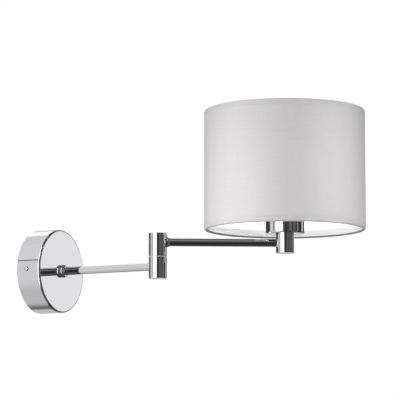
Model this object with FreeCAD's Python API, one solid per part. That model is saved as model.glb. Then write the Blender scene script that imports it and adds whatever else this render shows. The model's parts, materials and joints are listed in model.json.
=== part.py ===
"""Swing arm wall sconce: canopy on a wall bracket, two arms, a knuckle, a lampholder and a drum shade.

Row frame in millimetres: the wall is the plane y = 0, the lamp stands out along -Y, +Z is up.
The origin is the centre of the bracket's back face. The outer arm is drawn at its rest angle.
"""
import FreeCAD
import Part

import math
import os

V = FreeCAD.Vector
X_AXIS = V(1, 0, 0)
Y_AXIS = V(0, 1, 0)
Z_AXIS = V(0, 0, 1)
OUT_OF_WALL = V(0, -1, 0)

# ---- driving dimensions ------------------------------------------------------------------------
CANOPY_D = 105.0
CANOPY_DEPTH = 33.0
CANOPY_WALL = 1.2
CANOPY_EDGE_R = 2.4
INNER_ARM_REACH = 139.0      # canopy face to knuckle axis
OUTER_ARM_REACH = 157.5      # knuckle axis to holder axis
OUTER_ARM_REST_DEG = 32.0    # swing at rest, from straight out of the wall
SWING_LIMIT_DEG = 110.0      # swing each side of straight out, set by the stop pin
TUBE_D = 10.0
TUBE_WALL = 1.0
TUBE_FIT = 0.1               # radial room where a tube or nipple passes through a hole

KNUCKLE_D = 22.5
KNUCKLE_BORE_D = 18.0
KNUCKLE_BOTTOM_Z = -15.0
SPLIT_Z = 11.5
FRICTION_WASHER_T = 0.6
KNUCKLE_TOP_Z = 41.0
OUTER_ARM_Z = 29.9
END_CAP_T = 2.0
CAP_CHAMFER = 0.25
EDGE_CHAMFER = 0.4
LOWER_FLOOR_T = 4.0
UPPER_FLOOR_T = 5.0
STOP_PIN_D = 2.4
STOP_PIN_R = 9.0             # radius of the stop pin from the knuckle axis
STOP_PIN_L = 5.4
STOP_PIN_SUNK = 3.0          # how deep the pin is pressed into the lower half

HOLDER_D = 22.8
HOLDER_BOTTOM = -12.7        # measured from the outer arm's axis, as the next sizes are
HOLDER_TOP = 11.0
HOLDER_FLOOR_T = 3.0
CUP_D = 48.5
CUP_H = 52.0
CUP_WALL = 1.0
CUP_EDGE_R = 2.0
SHADE_BOTTOM = 15.8

SHADE_D = 200.0
SHADE_H = 149.5
SHADE_WALL = 1.0
SHADE_WIRE_D = 3.0
SPOKES = 3
SPOKE_FIRST_DEG = 28.0       # plan angle of the first spoke, from +X

FLEX_D = 4.0
CORE_D = 1.6
PIVOT_D = 10.0
PIVOT_BORE_D = 7.0
RUNNING_FIT = 0.05           # radial clearance between the pivot tube and its bush
THIN_NUT_AF = 14.0           # across flats of the M10 thin nuts

# ---- places worked out from them ---------------------------------------------------------------
FACE_Y = -CANOPY_DEPTH
KNUCKLE_Y = FACE_Y - INNER_ARM_REACH
swing = math.radians(OUTER_ARM_REST_DEG)
OUTER_DIR = V(math.sin(swing), -math.cos(swing), 0)
KNUCKLE = V(0, KNUCKLE_Y, 0)
HOLDER = KNUCKLE + OUTER_DIR * OUTER_ARM_REACH + V(0, 0, OUTER_ARM_Z)
CUP_FLOOR_Z = HOLDER.z + HOLDER_TOP + CUP_WALL     # inside face of the cup's floor
UPPER_Z = SPLIT_Z + FRICTION_WASHER_T              # underside of the knuckle's upper half
UPPER_FLOOR_TOP_Z = UPPER_Z + UPPER_FLOOR_T
SHADE_BOTTOM_Z = HOLDER.z + SHADE_BOTTOM
TUBE_R = TUBE_D / 2


# ---- shape helpers -----------------------------------------------------------------------------
NUT_BEVEL_R = 0.5            # how far the bevel takes a nut's corners in
NUT_BEVEL_H = 0.4
SCREW_SLOT_W = 0.8
SCREW_SLOT_DEPTH = 0.8


def rod(diameter, length, start, axis=Z_AXIS):
    return Part.makeCylinder(diameter / 2, length, start, axis)


def pipe(outer_d, inner_d, length, start, axis=Z_AXIS):
    return rod(outer_d, length, start, axis).cut(rod(inner_d, length, start, axis))


def box(centre, size):
    corner = centre - V(*size) * 0.5
    return Part.makeBox(size[0], size[1], size[2], corner)


def turned(outline, start, axis=Z_AXIS):
    """Solid of revolution from (radius, height) points, straight between them."""
    points = [V(r, 0, h) for r, h in outline]
    wire = Part.makePolygon(points + points[:1])
    solid = Part.Face(wire).revolve(V(0, 0, 0), Z_AXIS, 360)
    return placed(solid, start, axis)


def placed(shape, start, axis=Z_AXIS):
    """A shape drawn up +Z from the origin, moved to start and turned to point along axis."""
    shape.Placement = FreeCAD.Placement(start, FreeCAD.Rotation(Z_AXIS, axis))
    return shape


def circle_edges(shape, radius, height=None):
    """Round edges of one radius, and of one height when that is given."""
    found = []
    for edge in shape.Edges:
        if not isinstance(edge.Curve, Part.Circle) or abs(edge.Curve.Radius - radius) > 1e-3:
            continue
        if height is None or abs(edge.Curve.Center.z - height) < 1e-3:
            found.append(edge)
    return found


def hex_nut(across_flats, bore_d, thickness, start, axis=Z_AXIS):
    corner_r = across_flats / math.sqrt(3)
    corners = [V(corner_r * math.cos(math.radians(60 * i)), corner_r * math.sin(math.radians(60 * i)), 0)
               for i in range(6)]
    prism = Part.Face(Part.makePolygon(corners + corners[:1])).extrude(V(0, 0, thickness))
    face_r = corner_r - NUT_BEVEL_R
    bevel = turned([(0, 0), (face_r, 0), (corner_r, NUT_BEVEL_H), (corner_r, thickness - NUT_BEVEL_H),
                    (face_r, thickness), (0, thickness)], V(0, 0, 0))
    nut = prism.common(bevel).cut(rod(bore_d, thickness, V(0, 0, 0)))
    return placed(nut, start, axis)


def screw(shank_d, shank_length, head_d, head_h, start, axis):
    """Dome-head screw: its head stands on start along axis, and its shank runs back the other way."""
    bulge = (head_d ** 2 / 4 + head_h ** 2) / (2 * head_h)
    dome = Part.makeSphere(bulge, V(0, 0, head_h - bulge)).common(rod(head_d, head_h, V(0, 0, 0)))
    slot = box(V(0, 0, head_h), (2 * head_d, SCREW_SLOT_W, 2 * SCREW_SLOT_DEPTH))
    shank = rod(shank_d, shank_length, V(0, 0, -shank_length))
    return placed(dome.cut(slot).fuse(shank).removeSplitter(), start, axis)


def wire_along(points, diameter, bend_r):
    """Round wire through the points: straight runs joined by tangent arcs of one radius."""
    edges = []
    reached = points[0]
    for before, corner, after in zip(points, points[1:], points[2:]):
        back = (before - corner).normalize()
        ahead = (after - corner).normalize()
        half_turn = (math.pi - back.getAngle(ahead)) / 2
        setback = bend_r * math.tan(half_turn)
        start = corner + back * setback
        end = corner + ahead * setback
        to_centre = (back + ahead).normalize()
        middle = corner + to_centre * (bend_r / math.cos(half_turn) - bend_r)
        if (start - reached).Length > 1e-6:
            edges.append(Part.LineSegment(reached, start).toShape())
        edges.append(Part.Arc(start, middle, end).toShape())
        reached = end
    if (points[-1] - reached).Length > 1e-6:
        edges.append(Part.LineSegment(reached, points[-1]).toShape())
    direction = (points[1] - points[0]).normalize()
    section = Part.Wire(Part.makeCircle(diameter / 2, points[0], direction))
    return Part.Wire(edges).makePipeShell([section], True, True)


def group(shapes):
    return Part.makeCompound(shapes)


# ---- wall bracket and canopy -------------------------------------------------------------------
BRACKET_T = 2.0
BRACKET_H = 24.0
LUG_FACE_X = 50.4            # outside face of the bent lugs, just inside the canopy's rim
LUG_H = 14.0
LUG_OUT = 21.0
SLOT_X = 30.0                # half the spacing of the wall slots
SLOT_W = 4.5
SLOT_L = 12.0
NECK_L = 8.0                 # the strap narrows to the lugs' width over this length at each end
SUPPLY_HOLE_D = 12.0
SIDE_SCREW_Y = -14.0
SIDE_SCREW_D = 4.0
SIDE_SCREW_L = 8.0
SIDE_SCREW_HEAD_D = 6.4
SIDE_SCREW_HEAD_H = 2.0
SIDE_SCREW_ROOM = 0.2        # radial room round the side screws in the canopy
TAB_W = 26.0
TAB_TOP_Z = 38.0

BLOCK_SIZE = (17.0, 12.0, 19.0)
BLOCK_Z = 26.0
BLOCK_EDGE_R = 0.8
POLE_X = 4.2
POLE_TUBE_D = 4.6
POLE_TUBE_BORE_D = 2.8
POLE_TUBE_INSET = 1.5        # the tubes stop this far inside the block's ends
CLAMP_DZ = 5.0               # clamp screws above and below the block's middle
CLAMP_D = 2.6
CLAMP_L = 3.2
CLAMP_HEAD_OUT = 4.2         # from the tube's axis out to the clamp screw's end
CLAMP_HOLE_D = 3.4
FIXING_D = 3.0               # screw that holds the block to the bracket's tab
FIXING_HOLE_D = 3.2
FIXING_HEAD_D = 5.4
FIXING_HEAD_H = 1.8
FIXING_SEAT_D = 6.0
FIXING_SEAT_DEPTH = 3.0
FIXING_SHORT = 0.3           # the fixing screw ends this far short of the wall

EARTH_SCREW = V(18.0, 0, -5.0)
EARTH_HEAD_D = 7.0
EARTH_HEAD_H = 2.4
EYE_D = 9.0
EYE_BORE_D = 4.3
EYE_T = 0.8
EYE_NECK = (2.4, EYE_T, 2.6)
EYE_NECK_OUT = 4.2           # from the eye's middle to the neck's
BARREL_OUT = 4.6             # from the eye's middle to the barrel
BARREL_D = 3.0
BARREL_L = 5.0

NUT_T = 4.0
LOCK_WASHER_D = 19.0
LOCK_WASHER_T = 1.0
COLLAR_D = 16.0
COLLAR_T = 5.5
COLLAR_LAND = 0.15           # flat left in the middle of the collar's rounded edge, each way
ARM_INSIDE_CANOPY = 10.0


def wall_bracket():
    strap = Part.makeBox(2 * LUG_FACE_X, BRACKET_T, BRACKET_H, V(-LUG_FACE_X, -BRACKET_T, -BRACKET_H / 2))
    notch = (2 * NECK_L, 2 * BRACKET_T, (BRACKET_H - LUG_H) / 2)
    strap = strap.cut(group([box(V(side * LUG_FACE_X, -BRACKET_T / 2, up * (LUG_H + BRACKET_H) / 4), notch)
                             for side in (-1, 1) for up in (-1, 1)]))
    tab = Part.makeBox(TAB_W, BRACKET_T, TAB_TOP_Z, V(-TAB_W / 2, -BRACKET_T, 0))
    lugs = [box(V(side * (LUG_FACE_X - BRACKET_T / 2), -LUG_OUT / 2, 0), (BRACKET_T, LUG_OUT, LUG_H))
            for side in (-1, 1)]
    plate = strap.fuse([tab] + lugs).removeSplitter()
    holes = [rod(SUPPLY_HOLE_D, BRACKET_T, V(0, 0, 0), OUT_OF_WALL),
             rod(SIDE_SCREW_D, BRACKET_T, V(EARTH_SCREW.x, 0, EARTH_SCREW.z), OUT_OF_WALL),
             rod(FIXING_D, BRACKET_T, V(0, 0, BLOCK_Z), OUT_OF_WALL)]
    for side in (-1, 1):
        holes.append(box(V(side * SLOT_X, -BRACKET_T / 2, 0), (SLOT_L - SLOT_W, BRACKET_T, SLOT_W)))
        for end in (-1, 1):
            x = side * SLOT_X + end * (SLOT_L - SLOT_W) / 2
            holes.append(rod(SLOT_W, BRACKET_T, V(x, 0, 0), OUT_OF_WALL))
        inner_face = V(side * (LUG_FACE_X - BRACKET_T), SIDE_SCREW_Y, 0)
        holes.append(rod(SIDE_SCREW_D, BRACKET_T, inner_face, X_AXIS * side))
    for hole in holes:
        plate = plate.cut(hole)
    return plate


def canopy():
    outer_r = CANOPY_D / 2
    drum = rod(CANOPY_D, CANOPY_DEPTH, V(0, 0, 0))
    drum = drum.makeFillet(CANOPY_EDGE_R, circle_edges(drum, outer_r, CANOPY_DEPTH))
    hollow = rod(CANOPY_D - 2 * CANOPY_WALL, CANOPY_DEPTH - CANOPY_WALL, V(0, 0, 0))
    hollow = hollow.makeFillet(CANOPY_EDGE_R - CANOPY_WALL,
                               circle_edges(hollow, outer_r - CANOPY_WALL, CANOPY_DEPTH - CANOPY_WALL))
    shell = placed(drum.cut(hollow), V(0, 0, 0), OUT_OF_WALL)
    arm_hole = rod(TUBE_D + 2 * TUBE_FIT, 2 * CANOPY_WALL, V(0, FACE_Y + CANOPY_WALL, 0), OUT_OF_WALL)
    screw_holes = rod(SIDE_SCREW_D + 2 * SIDE_SCREW_ROOM, 2 * CANOPY_D, V(-CANOPY_D, SIDE_SCREW_Y, 0), X_AXIS)
    return shell.cut(arm_hole).cut(screw_holes)


def canopy_side_screws():
    return group([screw(SIDE_SCREW_D, SIDE_SCREW_L, SIDE_SCREW_HEAD_D, SIDE_SCREW_HEAD_H,
                        V(side * CANOPY_D / 2, SIDE_SCREW_Y, 0), X_AXIS * side)
                  for side in (-1, 1)])


def block_centre():
    return V(0, -BRACKET_T - BLOCK_SIZE[1] / 2, BLOCK_Z)


def pole_places():
    return [V(side * POLE_X, block_centre().y, BLOCK_Z) for side in (-1, 1)]


def clamp_places():
    """Middles of the clamp screws' holes, on the axes of the terminal tubes."""
    return [pole + V(0, 0, up * CLAMP_DZ) for pole in pole_places() for up in (-1, 1)]


def terminal_block():
    body = box(block_centre(), BLOCK_SIZE)
    body = body.makeFillet(BLOCK_EDGE_R, body.Edges)
    half_deep = BLOCK_SIZE[1] / 2
    for pole in pole_places():
        body = body.cut(rod(POLE_TUBE_D, BLOCK_SIZE[2], pole - V(0, 0, BLOCK_SIZE[2] / 2)))
    for clamp in clamp_places():
        body = body.cut(rod(CLAMP_HOLE_D, half_deep, clamp - V(0, half_deep, 0), Y_AXIS))
    front = block_centre() - V(0, half_deep, 0)
    body = body.cut(rod(FIXING_HOLE_D, BLOCK_SIZE[1], front, Y_AXIS))
    return body.cut(rod(FIXING_SEAT_D, FIXING_SEAT_DEPTH, front, Y_AXIS))


def terminal_tubes():
    length = BLOCK_SIZE[2] - 2 * POLE_TUBE_INSET
    tubes = group([pipe(POLE_TUBE_D, POLE_TUBE_BORE_D, length, pole - V(0, 0, length / 2))
                   for pole in pole_places()])
    for clamp in clamp_places():
        tubes = tubes.cut(rod(CLAMP_D, POLE_TUBE_D / 2, clamp - V(0, POLE_TUBE_D / 2, 0), Y_AXIS))
    return tubes


def terminal_screws():
    return group([rod(CLAMP_D, CLAMP_L, clamp - V(0, CLAMP_HEAD_OUT, 0), Y_AXIS) for clamp in clamp_places()])


def terminal_fixing_screw():
    seat_y = -BRACKET_T - BLOCK_SIZE[1] + FIXING_SEAT_DEPTH
    return screw(FIXING_D, -seat_y - FIXING_SHORT, FIXING_HEAD_D, FIXING_HEAD_H, V(0, seat_y, BLOCK_Z),
                 OUT_OF_WALL)


def earth_ring_terminal():
    """Flat eye under the earth screw's head, with a crimped barrel for the core."""
    eye = pipe(EYE_D, EYE_BORE_D, EYE_T, V(EARTH_SCREW.x, -BRACKET_T, EARTH_SCREW.z), OUT_OF_WALL)
    neck = box(V(EARTH_SCREW.x - EYE_NECK_OUT, -BRACKET_T - EYE_T / 2, EARTH_SCREW.z), EYE_NECK)
    barrel = pipe(BARREL_D, CORE_D, BARREL_L, barrel_mouth(), X_AXIS)
    return eye.fuse([neck, barrel]).removeSplitter()


def barrel_mouth():
    return V(EARTH_SCREW.x - BARREL_OUT - BARREL_L, -BRACKET_T - BARREL_D / 2, EARTH_SCREW.z)


def earth_screw():
    seat = V(EARTH_SCREW.x, -BRACKET_T - EYE_T, EARTH_SCREW.z)
    return screw(SIDE_SCREW_D, BRACKET_T + EYE_T, EARTH_HEAD_D, EARTH_HEAD_H, seat, OUT_OF_WALL)


# ---- inner arm ---------------------------------------------------------------------------------
def canopy_collar():
    ring = rod(COLLAR_D, COLLAR_T, V(0, 0, 0))
    ring = ring.makeFillet(COLLAR_T / 2 - COLLAR_LAND, circle_edges(ring, COLLAR_D / 2))
    ring = ring.cut(rod(TUBE_D, COLLAR_T, V(0, 0, 0)))
    return placed(ring, V(0, FACE_Y, 0), OUT_OF_WALL)


def arm_lock_washer():
    return pipe(LOCK_WASHER_D, TUBE_D, LOCK_WASHER_T, V(0, FACE_Y + CANOPY_WALL, 0), Y_AXIS)


def arm_lock_nut():
    return hex_nut(THIN_NUT_AF, TUBE_D, NUT_T, V(0, FACE_Y + CANOPY_WALL + LOCK_WASHER_T, 0), Y_AXIS)


def inner_arm():
    start_y = FACE_Y + ARM_INSIDE_CANOPY
    end_y = KNUCKLE_Y + KNUCKLE_BORE_D / 2
    return pipe(TUBE_D, TUBE_D - 2 * TUBE_WALL, start_y - end_y, V(0, start_y, 0), OUT_OF_WALL)


# ---- knuckle -----------------------------------------------------------------------------------
def knuckle_half(bottom_z, top_z, floor_bottom_z, floor_top_z, floor_hole_d):
    """A turned half: an outside cylinder bored from both ends down to its floor."""
    body = rod(KNUCKLE_D, top_z - bottom_z, KNUCKLE + V(0, 0, bottom_z))
    body = body.makeChamfer(EDGE_CHAMFER, circle_edges(body, KNUCKLE_D / 2))
    if floor_bottom_z > bottom_z:
        body = body.cut(rod(KNUCKLE_BORE_D, floor_bottom_z - bottom_z, KNUCKLE + V(0, 0, bottom_z)))
    if top_z > floor_top_z:
        body = body.cut(rod(KNUCKLE_BORE_D, top_z - floor_top_z, KNUCKLE + V(0, 0, floor_top_z)))
    return body.cut(rod(floor_hole_d, floor_top_z - floor_bottom_z, KNUCKLE + V(0, 0, floor_bottom_z)))


def stop_pin_foot():
    """Foot of the stop pin, on the wall side of the knuckle axis."""
    return KNUCKLE + V(0, STOP_PIN_R, SPLIT_Z - STOP_PIN_SUNK)


def knuckle_lower():
    body = knuckle_half(KNUCKLE_BOTTOM_Z, SPLIT_Z, SPLIT_Z - LOWER_FLOOR_T, SPLIT_Z, PIVOT_D)
    body = body.cut(rod(TUBE_D, KNUCKLE_D, KNUCKLE, Y_AXIS))
    return body.cut(rod(STOP_PIN_D, STOP_PIN_SUNK, stop_pin_foot()))


def knuckle_lower_cap():
    return end_cap(KNUCKLE_BOTTOM_Z)


def end_cap(bottom_z):
    disc = rod(KNUCKLE_BORE_D, END_CAP_T, KNUCKLE + V(0, 0, bottom_z))
    return disc.makeChamfer(CAP_CHAMFER, circle_edges(disc, KNUCKLE_BORE_D / 2))


PIVOT_BOTTOM_Z = 5.0
PIVOT_NUT_T = 2.5
BUSH_D = 12.0
BUSH_FLANGE_D = 16.0
BUSH_FLANGE_T = 0.8
FRICTION_WASHER_D = KNUCKLE_D - 1.0
WASHER_FIT = 0.1             # radial room inside the friction and wave washers
FLAT_WASHER_D = 15.0
FLAT_WASHER_T = 0.8
WAVE_WASHER_D = 14.4
WAVE_WASHER_T = 1.4
WAVE_RISE = 0.45             # height of the wave washer's waves about its middle
WAVE_STEPS = 36
PIVOT_TOP_NUT_T = 3.0
PIVOT_PAST_NUT = 1.0         # thread left above the top nut
STACK_Z = UPPER_FLOOR_TOP_Z + BUSH_FLANGE_T + RUNNING_FIT


def pivot_tube():
    top_z = STACK_Z + FLAT_WASHER_T + WAVE_WASHER_T + PIVOT_TOP_NUT_T + PIVOT_PAST_NUT
    return pipe(PIVOT_D, PIVOT_BORE_D, top_z - PIVOT_BOTTOM_Z, KNUCKLE + V(0, 0, PIVOT_BOTTOM_Z))


def pivot_lower_nut():
    top_z = SPLIT_Z - LOWER_FLOOR_T
    return hex_nut(THIN_NUT_AF, PIVOT_D, PIVOT_NUT_T, KNUCKLE + V(0, 0, top_z - PIVOT_NUT_T))


def friction_washer():
    washer = pipe(FRICTION_WASHER_D, PIVOT_D + 2 * WASHER_FIT, FRICTION_WASHER_T, KNUCKLE + V(0, 0, SPLIT_Z))
    return washer.cut(rod(STOP_PIN_D, STOP_PIN_L, stop_pin_foot()))


def stop_pin():
    return rod(STOP_PIN_D, STOP_PIN_L, stop_pin_foot())


def stop_groove():
    """Curved groove in the upper half that the stop pin runs in, centred opposite the outer arm."""
    clearance = 0.2
    half_width = STOP_PIN_D / 2 + clearance
    depth = 2.4
    past_pin = math.degrees(math.asin(half_width / STOP_PIN_R))
    half_sweep = SWING_LIMIT_DEG + past_pin
    middle_deg = 90 + OUTER_ARM_REST_DEG
    near = STOP_PIN_R - half_width
    far = STOP_PIN_R + half_width
    corners = [V(near, 0, 0), V(far, 0, 0), V(far, 0, depth), V(near, 0, depth)]
    section = Part.Face(Part.makePolygon(corners + corners[:1]))
    groove = section.revolve(V(0, 0, 0), Z_AXIS, 2 * half_sweep)
    groove.rotate(V(0, 0, 0), Z_AXIS, middle_deg - half_sweep)
    groove.translate(KNUCKLE + V(0, 0, UPPER_Z))
    return groove


def knuckle_upper():
    body = knuckle_half(UPPER_Z, KNUCKLE_TOP_Z, UPPER_Z, UPPER_FLOOR_TOP_Z, BUSH_D)
    body = body.cut(rod(TUBE_D, KNUCKLE_D, KNUCKLE + V(0, 0, OUTER_ARM_Z), OUTER_DIR))
    return body.cut(stop_groove())


def knuckle_upper_cap():
    return end_cap(KNUCKLE_TOP_Z - END_CAP_T)


def pivot_bush():
    bore_d = PIVOT_D + 2 * RUNNING_FIT
    sleeve = pipe(BUSH_D, bore_d, UPPER_FLOOR_T, KNUCKLE + V(0, 0, UPPER_Z))
    flange = pipe(BUSH_FLANGE_D, bore_d, BUSH_FLANGE_T, KNUCKLE + V(0, 0, UPPER_FLOOR_TOP_Z))
    return sleeve.fuse(flange).removeSplitter()


def pivot_flat_washer():
    return pipe(FLAT_WASHER_D, PIVOT_D, FLAT_WASHER_T, KNUCKLE + V(0, 0, STACK_Z))


def wave_edge(radius, height):
    """Closed edge with three waves, about a height."""
    points = []
    for i in range(WAVE_STEPS):
        angle = 2 * math.pi * i / WAVE_STEPS
        points.append(V(radius * math.cos(angle), radius * math.sin(angle),
                        height + WAVE_RISE * math.cos(3 * angle)))
    curve = Part.BSplineCurve()
    curve.interpolate(points, PeriodicFlag=True)
    return curve.toShape()


def pivot_wave_washer():
    """Spring washer with three waves, compressed between the flat washer and the top nut."""
    inner_r = PIVOT_D / 2 + 2 * WASHER_FIT
    outer_r = WAVE_WASHER_D / 2
    low = WAVE_RISE
    high = WAVE_WASHER_T - WAVE_RISE
    corners = [(inner_r, low), (outer_r, low), (outer_r, high), (inner_r, high)]
    edges = [wave_edge(radius, height) for radius, height in corners]
    faces = [Part.makeRuledSurface(edge, following) for edge, following in zip(edges, edges[1:] + edges[:1])]
    washer = Part.makeSolid(Part.makeShell(faces))
    if washer.Volume < 0:
        washer.reverse()
    return placed(washer, KNUCKLE + V(0, 0, STACK_Z + FLAT_WASHER_T))


def pivot_top_nut():
    return hex_nut(THIN_NUT_AF, PIVOT_D, PIVOT_TOP_NUT_T,
                   KNUCKLE + V(0, 0, STACK_Z + FLAT_WASHER_T + WAVE_WASHER_T))


# ---- outer arm and holder ----------------------------------------------------------------------
FERRULE_D = 13.0
FERRULE_OUT = 3.2            # how far the ferrule stands out of the knuckle
FERRULE_LAND = 0.4           # straight rim beside the knuckle
FERRULE_FLARE = 1.4          # where the wide flare turns into the narrow lip
FERRULE_LIP_T = 0.55
FERRULE_LIP_END_T = 0.2
NIPPLE_UP = 8.5              # nipple's reach above the cup's floor
NIPPLE_DOWN = 0.5            # nipple's reach below the holder's floor


def outer_arm_ferrule():
    surface = KNUCKLE_D / 2
    end = surface + FERRULE_OUT
    inside = KNUCKLE_BORE_D / 2
    rim_r = FERRULE_D / 2
    lip_r = TUBE_R + FERRULE_LIP_T
    outline = [(0, inside), (rim_r, inside), (rim_r, surface + FERRULE_LAND),
               (lip_r + FERRULE_LIP_END_T, surface + FERRULE_FLARE), (lip_r, end - FERRULE_LIP_END_T),
               (TUBE_R + FERRULE_LIP_END_T, end), (0, end)]
    flare = turned(outline, V(0, 0, 0))
    flare = flare.cut(rod(TUBE_D, end, V(0, 0, 0)))
    flare = placed(flare, KNUCKLE + V(0, 0, OUTER_ARM_Z), OUTER_DIR)
    return flare.cut(rod(KNUCKLE_D, KNUCKLE_TOP_Z - UPPER_Z, KNUCKLE + V(0, 0, UPPER_Z)))


def outer_arm():
    inset = KNUCKLE_BORE_D / 2
    start = KNUCKLE + V(0, 0, OUTER_ARM_Z) + OUTER_DIR * inset
    return pipe(TUBE_D, TUBE_D - 2 * TUBE_WALL, OUTER_ARM_REACH - 2 * inset, start, OUTER_DIR)


def arm_socket_holder():
    height = HOLDER_TOP - HOLDER_BOTTOM
    base = HOLDER + V(0, 0, HOLDER_BOTTOM)
    body = rod(HOLDER_D, height, base)
    body = body.makeChamfer(EDGE_CHAMFER, circle_edges(body, HOLDER_D / 2, base.z))
    body = body.cut(rod(KNUCKLE_BORE_D, height - HOLDER_FLOOR_T, base))
    body = body.cut(rod(PIVOT_D, HOLDER_FLOOR_T, HOLDER + V(0, 0, HOLDER_TOP - HOLDER_FLOOR_T)))
    return body.cut(rod(TUBE_D, HOLDER_D, HOLDER, OUTER_DIR * -1))


def holder_plug():
    disc = rod(KNUCKLE_BORE_D, END_CAP_T, HOLDER + V(0, 0, HOLDER_BOTTOM))
    return disc.makeChamfer(CAP_CHAMFER, circle_edges(disc, KNUCKLE_BORE_D / 2))


def holder_nipple():
    bottom_z = HOLDER.z + HOLDER_TOP - HOLDER_FLOOR_T - NIPPLE_DOWN
    return pipe(PIVOT_D, PIVOT_BORE_D, CUP_FLOOR_Z + NIPPLE_UP - bottom_z, V(HOLDER.x, HOLDER.y, bottom_z))


# ---- cup and lampholder ------------------------------------------------------------------------
NIPPLE_NUT_T = 3.0
HOLDER_CAP_D = 38.0
HOLDER_CAP_H = 18.0
HOLDER_CAP_WALL = 2.0
HOLDER_CAP_FLOOR = 4.0
HOLDER_CAP_EDGE_R = 3.0
LAMPHOLDER_D = 39.2          # over the thread that the shade rings screw on
LAMPHOLDER_BORE_D = 33.0
LAMPHOLDER_TOP = 66.0        # heights from the cup's floor
LAMPHOLDER_EDGE_R = 1.0
INSULATOR_H = 6.5
TERMINAL_X = 8.0
TERMINAL_DEPTH = 3.0
SHELL_BORE_D = 26.8
SHELL_T = 0.4
SHELL_H = 27.0
CONTACT_W = 5.0
CONTACT_T = 0.5
CONTACT_FOOT_L = 6.0
CONTACT_FOOT_X = 7.0         # from the lampholder's axis to the middle of the foot
CONTACT_TONGUE_L = 8.0
RING_NUT_D = 49.0
RING_NUT_T = 5.0
RING_GRIPS = 12
RING_GRIP_D = 3.0
RING_GRIP_OUT = 0.6          # the grips' middles stand this far outside the ring
LOWER_RING = 52.0
FITTER_T = 1.5
FITTER_D = 55.0
FITTER_ROOM = 0.3            # radial room between the fitter ring and the lampholder


def on_holder(height):
    """Point on the lampholder's axis, at a height above the cup's floor."""
    return V(HOLDER.x, HOLDER.y, CUP_FLOOR_Z + height)


def socket_cup():
    body = rod(CUP_D, CUP_H, V(0, 0, 0))
    body = body.makeFillet(CUP_EDGE_R, circle_edges(body, CUP_D / 2, 0))
    hollow = rod(CUP_D - 2 * CUP_WALL, CUP_H - CUP_WALL, V(0, 0, CUP_WALL))
    hollow = hollow.makeFillet(CUP_EDGE_R - CUP_WALL, circle_edges(hollow, CUP_D / 2 - CUP_WALL, CUP_WALL))
    cup = body.cut(hollow).cut(rod(PIVOT_D, CUP_WALL, V(0, 0, 0)))
    return placed(cup, on_holder(-CUP_WALL))


def nipple_nut():
    return hex_nut(THIN_NUT_AF, PIVOT_D, NIPPLE_NUT_T, on_holder(0))


def lampholder_cap():
    base = NIPPLE_NUT_T
    floor_top = base + HOLDER_CAP_FLOOR
    cap = rod(HOLDER_CAP_D, HOLDER_CAP_H - base, V(0, 0, base))
    cap = cap.makeFillet(HOLDER_CAP_EDGE_R, circle_edges(cap, HOLDER_CAP_D / 2, base))
    cap = cap.cut(rod(HOLDER_CAP_D - 2 * HOLDER_CAP_WALL, HOLDER_CAP_H - floor_top, V(0, 0, floor_top)))
    return placed(cap.cut(rod(PIVOT_D, HOLDER_CAP_FLOOR, V(0, 0, base))), on_holder(0))


def lampholder_body():
    height = LAMPHOLDER_TOP - HOLDER_CAP_H
    body = rod(LAMPHOLDER_D, height, V(0, 0, 0))
    body = body.makeFillet(LAMPHOLDER_EDGE_R, circle_edges(body, LAMPHOLDER_D / 2, height))
    return placed(body.cut(rod(LAMPHOLDER_BORE_D, height, V(0, 0, 0))), on_holder(HOLDER_CAP_H))


def lampholder_insulator():
    disc = rod(LAMPHOLDER_BORE_D, INSULATOR_H, on_holder(HOLDER_CAP_H))
    for side in (-1, 1):
        disc = disc.cut(rod(CORE_D, TERMINAL_DEPTH, on_holder(HOLDER_CAP_H) + V(side * TERMINAL_X, 0, 0)))
    return disc


def lampholder_screw_shell():
    bottom = HOLDER_CAP_H + INSULATOR_H
    return pipe(SHELL_BORE_D + 2 * SHELL_T, SHELL_BORE_D, SHELL_H, on_holder(bottom))


def lampholder_centre_contact():
    """Centre contact: a bent strip whose raised end meets the bulb's foot."""
    seat = on_holder(HOLDER_CAP_H + INSULATOR_H)
    rise = BULB_FOOT - HOLDER_CAP_H - INSULATOR_H
    bend_x = CONTACT_TONGUE_L / 2 - CONTACT_T / 2
    foot = box(seat + V(CONTACT_FOOT_X, 0, CONTACT_T / 2), (CONTACT_FOOT_L, CONTACT_W, CONTACT_T))
    riser = box(seat + V(bend_x, 0, rise / 2), (CONTACT_T, CONTACT_W, rise))
    tongue = box(seat + V(0, 0, rise - CONTACT_T / 2), (CONTACT_TONGUE_L, CONTACT_W, CONTACT_T))
    return foot.fuse([riser, tongue]).removeSplitter()


def shade_ring_nuts():
    """Two castellated rings that clamp the shade's fitter ring on the lampholder."""
    rings = []
    for bottom in (LOWER_RING, LOWER_RING + RING_NUT_T + FITTER_T):
        ring = pipe(RING_NUT_D, LAMPHOLDER_D, RING_NUT_T, on_holder(bottom))
        for i in range(RING_GRIPS):
            angle = 2 * math.pi * i / RING_GRIPS
            grip = V(math.cos(angle), math.sin(angle), 0) * (RING_NUT_D / 2 + RING_GRIP_OUT)
            ring = ring.cut(rod(RING_GRIP_D, RING_NUT_T, on_holder(bottom) + grip))
        rings.append(ring)
    return group(rings)


# ---- shade -------------------------------------------------------------------------------------
WIRE_RING_R = SHADE_D / 2 - SHADE_WALL - SHADE_WIRE_D / 2
RING_INSET = SHADE_WIRE_D / 2 + 0.5    # height of a wire ring's middle inside the drum's edge
FITTER_Z = CUP_FLOOR_Z + LOWER_RING + RING_NUT_T
SPOKE_START_R = 25.8
SPOKE_BEND_AT_R = 34.0       # where a spoke turns down from the fitter ring towards the wire ring
SPOKE_BEND_R = 8.0


def wire_ring(z):
    return Part.makeTorus(WIRE_RING_R, SHADE_WIRE_D / 2, V(HOLDER.x, HOLDER.y, z), Z_AXIS)


def shade_bottom_ring():
    return wire_ring(SHADE_BOTTOM_Z + RING_INSET)


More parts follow.
